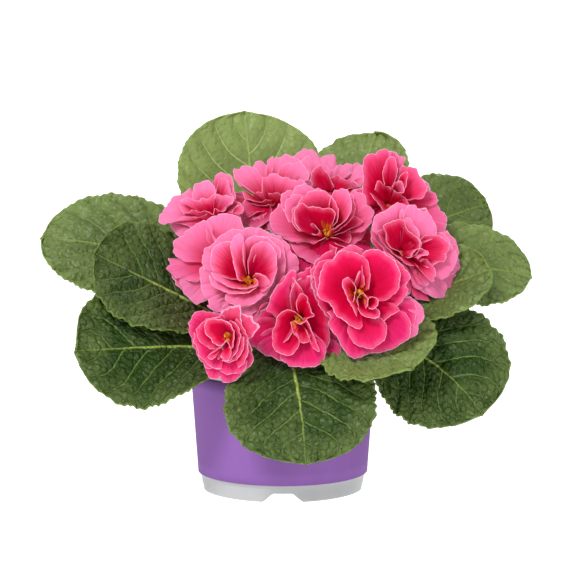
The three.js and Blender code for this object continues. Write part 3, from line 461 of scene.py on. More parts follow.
class Shader(Nodes):
    """Builds a material around one Principled shader."""

    def __init__(self, name: str, **skin: Union[float, tuple]) -> None:
        """Makes the material.

        Args:
            name: The material's name.
            skin: Values of the shader's own sockets, with underscores for spaces.
        """
        self.material = bpy.data.materials.new(name)
        self.material.use_nodes = True
        super().__init__(self.material.node_tree)
        self.tree.nodes.clear()
        self.skin = self.node("ShaderNodeBsdfPrincipled")
        self.node("ShaderNodeOutputMaterial", {"Surface": self.skin.outputs["BSDF"]})
        for socket, value in skin.items():
            self.skin.inputs[socket.replace("_", " ")].default_value = value

    def value(self, name: str) -> Socket:
        """A painted value of the piece."""
        return self.node("ShaderNodeAttribute", attribute_name=name).outputs["Fac"]

    def flat(self, scale: Triple) -> Socket:
        """The piece's flat map, stretched."""
        chart = self.node("ShaderNodeUVMap", uv_map="UVMap").outputs["UV"]
        return self.node("ShaderNodeMapping", {"Vector": chart, "Scale": scale}).outputs["Vector"]

    def place(self, scale: Triple) -> Socket:
        """Places in the object's own space, stretched."""
        where = self.node("ShaderNodeTexCoord").outputs["Object"]
        return self.node("ShaderNodeMapping", {"Vector": where, "Scale": scale}).outputs["Vector"]

    def math(self, operation: str, first: Socket, second: Socket, clamp: bool = False) -> Socket:
        """One sum on two values."""
        inputs = {0: first, 1: second}
        return self.node("ShaderNodeMath", inputs, operation=operation, use_clamp=clamp).outputs[0]

    def total(self, first: Socket, second: Socket) -> Socket:
        """Two values added."""
        return self.math("ADD", first, second)

    def product(self, first: Socket, second: Socket) -> Socket:
        """Two values multiplied."""
        return self.math("MULTIPLY", first, second)

    def swing(self, noise: Socket, size: float) -> Socket:
        """A noise's swing about zero, scaled."""
        return self.product(self.math("SUBTRACT", noise, 0.5), size)

    def span(self, value: Socket, low: float, high: float, start: float = 0.0, end: float = 1.0) -> Socket:
        """A value's smooth passage from start at low to end at high."""
        inputs = {"Value": value, "From Min": low, "From Max": high, "To Min": start, "To Max": end}
        return self.node("ShaderNodeMapRange", inputs, interpolation_type="SMOOTHSTEP").outputs["Result"]

    def blend(self, first: Socket, second: Socket, share: Socket) -> Socket:
        """A mix of two colours."""
        return self.node("ShaderNodeMix", {0: share, 6: first, 7: second}, data_type="RGBA").outputs[2]

    def noise(self, where: Socket, scale: float, detail: float = 3.0, roughness: float = 0.55) -> Socket:
        """Soft noise about one half."""
        inputs = {"Vector": where, "Scale": scale, "Detail": detail, "Roughness": roughness}
        return self.node("ShaderNodeTexNoise", inputs).outputs["Fac"]

    def cell(self, where: Socket, scale: float) -> Socket:
        """Distance pattern of scattered cells."""
        made = self.node("ShaderNodeTexVoronoi", {"Vector": where, "Scale": scale}, feature="SMOOTH_F1")
        return made.outputs["Distance"]

    def colour(self, value: Socket) -> None:
        """Sets the base colour."""
        self.put(self.skin.inputs["Base Color"], value)

    def bump(
        self, height: Socket, strength: Socket, distance: float, under: Optional[Socket] = None
    ) -> Socket:
        """Adds low relief to the surface.

        Args:
            height: The relief.
            strength: Its strength.
            distance: Its height in metres.
            under: A relief that it lies on.

        Returns:
            The relief's normal.
        """
        inputs = {"Height": height, "Strength": strength, "Distance": distance}
        if under is not None:
            inputs["Normal"] = under
        normal = self.node("ShaderNodeBump", inputs).outputs["Normal"]
        self.put(self.skin.inputs["Normal"], normal)
        return normal


@dataclass(frozen=True)
class PetalFinish:
    """Velvety petals: pink with a pale margin, crimson towards the throat and a yellow eye."""

    pale: Colour = srgb(252, 122, 168)
    deep: Colour = srgb(226, 28, 98)
    blush: Colour = srgb(202, 0, 58)
    eye: Colour = srgb(238, 160, 34)
    margin: Colour = srgb(254, 168, 198)
    roughness: float = 0.6
    sheen: float = 0.02
    fans: Triple = (26.0, 1.6, 1.0)
    patches: Triple = (7.0, 2.0, 1.0)
    ripples: Triple = (9.0, 9.0, 1.0)
    flutes: Triple = (40.0, 2.5, 1.0)
    paler_out: Run = (0.45, 1.0, 0.0, 0.2)
    pinks: Run = (0.0, 1.0)
    # Tints below 0 run towards the crimson blush; this darkens some blooms partly as painted shade.
    crimsons: Run = (-1.2, 0.0)
    streaks: Run = (0.42, 0.72)
    streaking: float = 0.22
    lights: Run = (0.5, 0.28, 0.0, 0.2)
    flush: Run = (0.2, 0.76)
    flush_swing: float = 0.5
    eye_edge: Run = (0.05, 0.15)
    eye_swing: float = 0.3
    soft_edge: Run = (0.0, 4.0, 0.32, 0.0)
    margin_edge: Run = (0.0, 0.5)
    margin_swing: float = 0.9
    flute_strength: float = 0.35
    flute_height: float = 0.0006

    def veined(self, made: Shader, reach: Socket, fans: Socket) -> Socket:
        """The petal's pink, darkened towards crimson by low tints that partly carry painted shade, with
        darker and paler streaks along it.

        Args:
            made: The material's builder.
            reach: How far out on the petal.
            fans: The pattern of streaks.

        Returns:
            The colour.
        """
        paler = made.total(made.value("tint"), made.span(reach, *self.paler_out))
        body = made.blend(self.deep, self.pale, made.span(paler, *self.pinks))
        body = made.blend(self.blush, body, made.span(paler, *self.crimsons))
        streaked = made.blend(body, self.blush, made.product(made.span(fans, *self.streaks), self.streaking))
        return made.blend(streaked, self.pale, made.span(fans, *self.lights))

    def material(self) -> Material:
        """The finished material.

        Returns:
            The material.
        """
        made = Shader(
            "petal_velvet",
            Roughness=self.roughness,
            Sheen_Weight=self.sheen,
            Sheen_Roughness=0.4,
            Specular_IOR_Level=0.06,
            Subsurface_Weight=0.4,
            Subsurface_Radius=(1.0, 0.3, 0.35),
            Subsurface_Scale=0.003,
        )
        reach = made.value("reach")
        edge = made.value("edge")
        fans = made.noise(made.flat(self.fans), 1.0, 4.0)
        depth = made.total(reach, made.swing(fans, self.flush_swing))
        warm = made.blend(self.blush, self.veined(made, reach, fans), made.span(depth, *self.flush))
        patch = made.noise(made.flat(self.patches), 1.0, 2.0)
        centre = made.total(made.value("heart"), made.swing(patch, self.eye_swing))
        lit = made.blend(self.eye, warm, made.span(centre, *self.eye_edge))
        lit = made.blend(lit, self.pale, made.span(edge, *self.soft_edge))
        ripple = made.noise(made.flat(self.ripples), 1.0, 2.0)
        line = made.total(edge, made.swing(ripple, self.margin_swing))
        made.colour(made.blend(self.margin, lit, made.span(line, *self.margin_edge)))
        made.bump(made.noise(made.flat(self.flutes), 1.0, 3.0), self.flute_strength, self.flute_height)
        return made.material


@dataclass(frozen=True)
class LeafFinish:
    """Quilted leaves: green with a pale midrib, finer side veins, painted shadow in the creases and a lighter
    margin.
    """

    dark: Colour = srgb(36, 60, 12)
    fresh: Colour = srgb(150, 170, 96)
    midrib: Colour = srgb(164, 184, 84)
    pale: Colour = srgb(188, 206, 126)
    vein: Colour = srgb(128, 154, 76)
    margin: Colour = srgb(120, 146, 60)
    bronze: Colour = srgb(82, 68, 44)
    roughness: float = 0.38
    # How dark the painted crease shadow is, as a share of the dark green.
    crease_shadow: float = 0.35
    cloud_grain: float = 60.0
    clouding: float = 0.45
    edge_light: Run = (0.0, 22.0, 0.09, -0.05)
    bronzing: float = 0.7
    vein_sway: float = 0.14
    vein_width: Run = (0.01, 0.07, 1.0, 0.0)
    vein_fade: Run = (0.0, 20.0, 0.1, 1.0)
    vein_show: Run = (0.2, 0.75, 0.42, 0.64)
    # Where the painted crease shadow falls: along the side veins and between the puckers, fading out on pale
    # leaves.
    crease_line: Run = (0.02, 0.16, 0.55, 1.0)
    crease_web: Run = (0.0, 0.9, 0.6, 1.0)
    crease_dark: Run = (0.1, 0.9, 0.42, 1.0)
    crease_fade: Run = (0.3, 0.8, 0.0, 0.95)
    young: Run = (0.3, 0.72)
    rib_half: Run = (0.1, 0.95, 1.9, 0.65)
    rib_edge: Run = (0.35, 1.0, 1.0, 0.0)
    rib_fade: Run = (0.5, 0.95, 0.92, 0.2)
    margin_edge: Run = (0.0, 1.8, 0.5, 1.0)
    pucker_line: Run = (0.0, 0.14)
    pucker_rise: Run = (0.0, 1.5)
    pucker_strength: Run = (0.1, 0.3, 0.62, 0.12)
    pucker_height: float = 0.0014
    cell_grain: float = 460.0
    cell_rise: Run = (0.0, 0.6, 1.0, 0.0)
    cell_strength: Run = (0.4, 0.75, 0.7, 0.3)
    cell_height: float = 0.001
    skin_grain: float = 1300.0
    skin_strength: float = 0.25
    skin_height: float = 0.0003

    def body(self, made: Shader, cloud: Socket) -> Socket:
        """The blade's own green or bronze.

        Args:
            made: The material's builder.
            cloud: A slow noise about zero.

        Returns:
            The colour.
        """
        lighter = made.total(made.value("tint"), made.span(made.value("edge"), *self.edge_light))
        share = made.math("ADD", lighter, made.product(cloud, self.clouding), True)
        green = made.blend(self.dark, self.fresh, share)
        return made.blend(green, self.bronze, made.product(made.value("bronze"), self.bronzing))

    def shaded_creases(self, made: Shader, body: Socket, line: Socket) -> Socket:
        """The blade with painted shadow darkening its creases.

        Args:
            made: The material's builder.
            body: The blade's colour.
            line: Distance to the nearest side vein, as a share of their spacing.

        Returns:
            The colour.
        """
        web = made.span(made.value("web"), *self.crease_web)
        # Painted shadow: near the side veins and between the puckers the colour runs towards a dimmed dark
        # green, less on pale leaves.
        crease_shadow_mask = made.span(made.product(made.span(line, *self.crease_line), web), *self.crease_dark)
        light = made.math("MAXIMUM", crease_shadow_mask, made.span(made.value("tint"), *self.crease_fade))
        shadow = tuple(self.crease_shadow * part for part in self.dark[:3]) + (1.0,)
        return made.blend(shadow, body, light)

    def ribbed(self, made: Shader, body: Socket, line: Socket) -> Socket:
        """The blade with its side veins and midrib.

        Args:
            made: The material's builder.
            body: The blade's colour.
            line: Distance to the nearest side vein, as a share of their spacing.

        Returns:
            The colour.
        """
        tint = made.value("tint")
        young = made.span(tint, *self.young)
        shows = made.product(made.span(made.value("edge"), *self.vein_fade), made.span(tint, *self.vein_show))
        veins = made.product(made.span(line, *self.vein_width), shows)
        lined = made.blend(body, made.blend(self.vein, self.pale, young), veins)
        stem = made.value("stem")
        beside = made.math("DIVIDE", made.value("side"), made.span(stem, *self.rib_half))
        rib = made.product(made.span(beside, *self.rib_edge), made.span(stem, *self.rib_fade))
        return made.blend(lined, made.blend(self.midrib, self.pale, young), rib)

    def relief(self, made: Shader, where: Socket, line: Socket) -> None:
        """Puckers the blade, with fine cells and a grain on top.

        Args:
            made: The material's builder.
            where: Flat coordinates.
            line: Distance to the nearest side vein, as a share of their spacing.
        """
        tint = made.value("tint")
        raised = made.product(made.value("web"), made.span(line, *self.pucker_line))
        pucker = made.span(raised, *self.pucker_rise)
        under = made.bump(pucker, made.span(tint, *self.pucker_strength), self.pucker_height)
        fine = made.span(made.cell(where, self.cell_grain), *self.cell_rise)
        under = made.bump(fine, made.span(tint, *self.cell_strength), self.cell_height, under)
        made.bump(made.noise(where, self.skin_grain, 2.0), self.skin_strength, self.skin_height, under)

    def material(self) -> Material:
        """The finished material.

        Returns:
            The material.
        """
        made = Shader("leaf_quilted", Roughness=self.roughness, Specular_IOR_Level=0.22)
        where = made.flat((1.0, 1.0, 1.0))
        cloud = made.math("SUBTRACT", made.noise(where, self.cloud_grain, 3.0), 0.5)
        rank = made.total(made.value("rank"), made.product(cloud, self.vein_sway))
        line = made.math("PINGPONG", rank, 0.5)
        ribbed = self.ribbed(made, self.shaded_creases(made, self.body(made, cloud), line), line)
        made.colour(made.blend(self.margin, ribbed, made.span(made.value("edge"), *self.margin_edge)))
        self.relief(made, where, line)
        return made.material


@dataclass(frozen=True)
class StalkFinish:
    """Pale green flower stalks with a little red towards the bloom."""

    green: Colour = srgb(128, 158, 76)
    flushed: Colour = srgb(150, 110, 76)
    throat: Colour = srgb(196, 84, 40)

    def material(self) -> Material:
        """The finished material.

        Returns:
            The material.
        """
        made = Shader("stalk_green", Roughness=0.5, Sheen_Weight=0.3)
        cloud = made.noise(made.place((1.0, 1.0, 0.3)), 160.0)
        stem = made.blend(self.green, self.flushed, made.span(cloud, 0.45, 0.8, 0.0, 0.5))
        made.colour(made.blend(stem, self.throat, made.value("throat")))
        made.bump(cloud, 0.3, 0.0004)
        return made.material


@dataclass(frozen=True)
class PlasticFinish:
    """Pale moulded plastic with faint flow marks."""

    name: str
    base: Colour
    roughness: float
    gloss: float

    def material(self) -> Material:
        """The finished material.

        Returns:
            The material.
        """
        made = Shader(self.name, Roughness=self.roughness, Specular_IOR_Level=self.gloss)
        flow = made.noise(made.place((1.0, 1.0, 0.25)), 70.0, 4.0)
        shade = tuple(c * 0.9 for c in self.base[:3]) + (1.0,)
        made.colour(made.blend(self.base, shade, made.span(flow, 0.35, 0.75, 0.0, 0.6)))
        made.bump(made.noise(made.place((1.0, 1.0, 1.0)), 900.0, 2.0), 0.08, 0.0002)
        return made.material


@dataclass(frozen=True)
class EarthFinish:
    """Crumbly compost, or the brown skin of the crown."""

    name: str
    dark: Colour = srgb(38, 26, 18)
    light: Colour = srgb(92, 68, 48)
    grain: float = 420.0

    def material(self) -> Material:
        """The finished material.

        Returns:
            The material.
        """
        made = Shader(self.name, Roughness=0.92, Specular_IOR_Level=0.2)
        where = made.place((1.0, 1.0, 1.0))
        crumb = made.noise(where, self.grain, 5.0, 0.7)
        made.colour(made.blend(self.dark, self.light, made.span(crumb, 0.42, 0.78)))
        made.bump(crumb, 0.8, 0.002)
        return made.material


@dataclass(frozen=True)
class AntherFinish:
    """The yellow and orange anthers in a bloom's throat."""

    yellow: Colour = srgb(226, 160, 40)
    orange: Colour = srgb(176, 84, 18)

    def material(self) -> Material:
        """The finished material.

        Returns:
            The material.
        """
        made = Shader("anther_pollen", Roughness=0.7, Specular_IOR_Level=0.2)
        patch = made.noise(made.place((1.0, 1.0, 1.0)), 500.0, 2.0)
        made.colour(made.blend(self.yellow, self.orange, made.span(patch, 0.4, 0.6)))
        made.bump(made.noise(made.place((1.0, 1.0, 1.0)), 3000.0, 2.0), 0.4, 0.0002)
        return made.material


# ---- Small repeats ----


@dataclass
class Strewn:
    """Small bodies strewn over a surface by a rule."""

    name: str
    density: float
    size: float
    flatness: float
    seed: int

    TURN = 6.28
    SMALLEST = 0.55
    LARGEST = 1.25

    def tree(self, material: Material) -> bpy.types.GeometryNodeTree:
        """Builds the rule.

        Args:
            material: The bodies' finish.

        Returns:
            The node tree, with its sizes and seed as named inputs.
        """
        made = Nodes(bpy.data.node_groups.new(self.name + "_rule", "GeometryNodeTree"))
        face = made.tree.interface
        face.new_socket("Geometry", in_out="OUTPUT", socket_type="NodeSocketGeometry")
        face.new_socket("Geometry", in_out="INPUT", socket_type="NodeSocketGeometry")
        for label, kind in (("Density", "Float"), ("Size", "Float"), ("Flatness", "Float"), ("Seed", "Int")):
            face.new_socket(label, in_out="INPUT", socket_type="NodeSocket" + kind)
        given = made.node("NodeGroupInput").outputs
        ground = {"Mesh": given["Geometry"], "Density": given["Density"], "Seed": given["Seed"]}
        spread = made.node("GeometryNodeDistributePointsOnFaces", ground)
        body = made.node("GeometryNodeMeshIcoSphere", {"Radius": given["Size"], "Subdivisions": 1})
        turning = {"Max": (self.TURN, self.TURN, self.TURN), "Seed": given["Seed"]}
        turn = made.node("FunctionNodeRandomValue", turning, data_type="FLOAT_VECTOR")
        growing = {2: self.SMALLEST, 3: self.LARGEST, "Seed": given["Seed"]}
        grown = made.node("FunctionNodeRandomValue", growing).outputs[1]
        flat = made.node("ShaderNodeMath", {0: grown, 1: given["Flatness"]}, operation="MULTIPLY").outputs[0]
        copying = {
            "Points": spread.outputs["Points"],
            "Instance": body.outputs["Mesh"],
            "Rotation": turn.outputs[0],
            "Scale": made.node("ShaderNodeCombineXYZ", {0: grown, 1: grown, 2: flat}).outputs[0],
        }
        copies = made.node("GeometryNodeInstanceOnPoints", copying).outputs["Instances"]
        real = made.node("GeometryNodeRealizeInstances", {"Geometry": copies}).outputs["Geometry"]
        painted = made.node("GeometryNodeSetMaterial", {"Geometry": real, "Material": material})
        made.node("NodeGroupOutput", {"Geometry": painted.outputs["Geometry"]})
        return made.tree

    def over(self, ground: Piece, material: Material) -> Piece:
        """Strews the bodies.

        Args:
            ground: The surface that they lie on, which is used up.
            material: Their finish.

        Returns:
            The plain piece.
        """
        tree = self.tree(material)
        rule = ground.modifiers.new(self.name, "NODES")
        rule.node_group = tree
        given = {
            "Density": self.density,
            "Size": self.size * MM,
            "Flatness": self.flatness,
            "Seed": self.seed,
        }
        for item in tree.interface.items_tree:
            if item.in_out == "INPUT" and item.name in given:
                rule[item.identifier] = given[item.name]
        return settled(ground, self.name)


# ---- Pot ----


@dataclass
class Pot:
    """The grower's pot with its foot ring, notches and rim band, and the plain band of film around it."""

    height: float = 77.0
    rim_radius: float = 53.0
    wall_top: float = 51.4
    wall_bottom: float = 47.1
    wall: float = 1.2
    foot_height: float = 9.5
    foot_radius: float = 45.6
    foot_step: float = 0.9
    floor: float = 5.6
    band: float = 9.0
    notch_height: float = 5.2
    notch_top: float = 11.0
    notch_bottom: float = 23.0
    label_bottom: float = 9.9
    label_top: float = 67.2
    label_gap: float = 0.3
    label_thickness: float = 0.5
    drains: int = 4
    drain_radius: float = 4.0
    drain_ring: float = 26.0
    drain_sides: int = 32
    sides: int = 240
    plastic: Colour = srgb(170, 171, 173)
    film: Colour = srgb(134, 92, 161)

    def wall_at(self, height: float) -> float:
        """The wall's outer radius at a height."""
        share = (height - self.foot_height) / (self.height - self.band - self.foot_height)
        return mix(self.wall_bottom, self.wall_top, share)

    def notch_at(self, angles: Array) -> Array:
        """How far the foot ring is cut away.

        Args:
            angles: Angles about the pot's axis.

        Returns:
            The lowest height that the foot reaches at each.
        """
        quarter = math.pi / 2
        beside = np.abs((angles + quarter / 2) % quarter - quarter / 2) * self.foot_radius
        share = (self.notch_bottom / 2 - beside) / ((self.notch_bottom - self.notch_top) / 2)
        return self.notch_height * np.clip(share, 0, 1)

    def lathe(self, profile: Sequence[tuple[float, float]], ends: Ends) -> Surface:
        """Turns a profile about the pot's axis and cuts the foot's notches.

        Args:
            profile: Radii and heights.
            ends: How the body ends.

        Returns:
            The closed surface.
        """
        angles = spaced(self.sides)
        shape = np.array(profile)
        heights = np.maximum(np.repeat(shape[:, 1:2], self.sides, axis=1), self.notch_at(angles)[None, :])
        chart = np.stack(np.broadcast_arrays(angles / (2 * math.pi), heights / self.height), axis=-1)
        made = Surface()
        made.add_tube(rings_at(shape[:, 0:1], heights, angles), chart, {}, ends)
        return made

    def build(self) -> Piece:
        """Makes the pot.

        Returns:
            The piece.
        """
        high, rim, foot, wall = self.height, self.rim_radius, self.foot_radius, self.wall_bottom
        top, step, low = high - self.band, self.foot_height, self.floor
        hollow = foot - 2 * self.wall
        profile = [
            (0.5, low),
            (hollow - 0.6, low),
            (hollow, low - 0.4),
            (hollow, 0.4),
            (hollow + 0.3, 0.0),
            (foot - 0.8, 0.0),
            (foot - 0.25, 0.2),
            (foot, 0.8),
            (foot + 0.25, 4.0),
            (wall - self.foot_step - 0.05, step - 1.3),
            (wall - self.foot_step, step - 0.95),
            (wall - 0.2, step - 0.75),
            (wall, step - 0.4),
            (wall, step),
            (self.wall_at(top), top),
            (rim - 0.8, top + 0.1),
            (rim - 0.2, top + 0.5),
            (rim, top + 1.2),
            (rim, high - 1.2),
            (rim - 0.2, high - 0.4),
            (rim - 0.7, high),
            (rim - 1.8, high),
            (rim - 2.2, high - 0.4),
            (rim - 2.4, high - 1.0),
            (self.wall_at(top) - self.wall, top),
            (self.wall_at(step) - self.wall, low + 2.2),
            (self.wall_at(step) - self.wall - 1.0, low + 1.2),
            (0.5, low + 1.2),
        ]
        finish = PlasticFinish("pot_plastic", self.plastic, roughness=0.3, gloss=0.6)
        whole = self.lathe(profile, Ends.POINTED).piece("pot_shell", finish.material())
        return report(self.drained(whole), Slot.POT, "pot")

    def drained(self, piece: Piece) -> Piece:
        """Cuts the drain holes through the floor.

        Args:
            piece: The pot without holes.

        Returns:
            The pot with them.
        """
        made = Surface()
        sides = self.drain_sides
        levels = np.linspace(self.floor - 2, self.floor + 3.4, 4)
        disc = rings_at(np.full((1, 1), self.drain_radius), np.zeros((1, 1)), spaced(sides))
        for k in range(self.drains):
            at = around(self.drain_ring, (k + 0.5) * 360 / self.drains, 0.0)
            rings = at + disc + levels[:, None, None] * UP
            made.add_tube(rings, np.zeros((len(levels), sides, 2)), {})
        cutter = made.piece("drain_cutter", piece.data.materials[0])
        cut = piece.modifiers.new("drains", "BOOLEAN")
        cut.operation = "DIFFERENCE"
        cut.solver = "EXACT"
        cut.object = cutter
        solid = settled(piece, piece.name)
        bpy.data.objects.remove(cutter)
        return solid

    def dress(self) -> Piece:
        """Makes the band of film.

        Returns:
            The piece.
        """
        steps = np.linspace(self.label_bottom, self.label_top, 9)
        outer = [(self.wall_at(z) + self.label_gap + self.label_thickness, z) for z in steps]
        inner = [(self.wall_at(z) + self.label_gap, z) for z in steps[::-1]]
        finish = PlasticFinish("label_film", self.film, roughness=0.7, gloss=0.1)
        band = self.lathe(outer + inner, Ends.JOINED).piece("label_film", finish.material())
        return report(band, Slot.LABEL, "label_band")


@dataclass
class Ground:
    """The compost in the pot and the crown that stands in it."""

    pot: Pot
    top: float = 69.0
    edge_dip: float = 1.5
    flat_radius: float = 28.0
    clearance: float = 0.05
    hub: float = 0.8
    lump_size: float = 5.0
    lump_height: float = 0.9
    lump_seed: int = 7
    crown: tuple = (
        (0.6, 59.0), (7, 59.3), (11.9, 64), (14, 69), (14, 75), (14, 81), (11.2, 84.5), (5.6, 87), (0.6, 87.4)
    )
    crown_rows: int = 49
    crown_sides: int = 48
    scars: int = 5
    scar_depth: float = 0.05
    sides: int = 96

    def disc(self, count: int, outer: float) -> Array:
        """Rings of the compost's uneven top, from the edge inwards.

        Args:
            count: Number of rings.
            outer: Radius of the outermost.

        Returns:
            Points, rings by sides by three.
        """
        angles = spaced(self.sides)
        radii = np.linspace(outer, self.hub, count)[:, None]
        x = radii * np.cos(angles)
        y = radii * np.sin(angles)
        dip = self.edge_dip * smooth(radii, self.flat_radius, outer)
        near, following = cells(x, y, self.lump_size, self.lump_seed)
        lump = self.lump_height * smooth(following - near, 0.0, 0.5) - self.lump_height
        return np.stack([x, y, self.top - dip + lump], axis=-1)

    def compost(self) -> Piece:
        """Makes the compost.

        Returns:
            The piece.
        """
        inside = self.pot.wall + self.clearance
        low = self.pot.floor + inside
        edge = self.top - self.edge_dip
        steps = [(self.hub, low), (self.pot.wall_at(self.pot.foot_height) - inside - 1.1, low)]
        steps += [(self.pot.wall_at(z) - inside, z) for z in np.linspace(low + 1.2, edge - 1.2, 8)]
        shape = np.array(steps)
        wall = rings_at(shape[:, :1], shape[:, 1:], spaced(self.sides))
        rings = np.concatenate([wall, self.disc(34, self.pot.wall_at(edge) - inside)])
        made = Surface()
        made.add_tube(rings, rings[..., :2] * 0.01, {})
        return report(made.piece("compost", EarthFinish("compost").material()), Slot.SOIL, "soil")

    def crumbs(self) -> Piece:
        """Strews crumbs on the compost.

        Returns:
            The piece.
        """
        rings = self.disc(12, self.pot.wall_at(self.top) - 3.0)
        made = Surface()
        made.add_tube(rings, rings[..., :2] * 0.01, {}, Ends.OPEN)
        finish = EarthFinish("compost_crumbs", srgb(46, 32, 22), srgb(120, 92, 66), grain=900.0).material()
        ground = made.piece("crumb_ground", finish)
        rule = Strewn("compost_crumbs", density=110000.0, size=0.9, flatness=0.7, seed=11)
        return report(rule.over(ground, finish), Slot.SOIL)

    def stock(self) -> Piece:
        """Makes the crown, with the scars of old leaves in a spiral.

        Returns:
            The piece.
        """
        profile = np.array(self.crown)
        order = np.arange(len(profile))
        at = np.linspace(0, len(profile) - 1, self.crown_rows)
        radii = np.interp(at, order, profile[:, 0])[:, None]
        levels = np.interp(at, order, profile[:, 1])[:, None]
        angles = spaced(self.crown_sides)
        worn = 1 - self.scar_depth * smooth(np.sin(self.scars * angles + 2.4 * levels / 3), 0.2, 1.0)
        rings = rings_at(radii * worn, levels, angles)
        made = Surface()
        made.add_tube(rings, rings[..., :2] * 0.02, {})
        finish = EarthFinish("crown_skin", srgb(84, 70, 40), srgb(150, 150, 84), grain=260.0)
        return report(made.piece("crown_stock", finish.material()), Slot.STALKS, "crown")

    def build(self) -> list[Piece]:
        """Makes all of it."""
        return [self.compost(), self.crumbs(), self.stock()]


# ---- Leaves ----


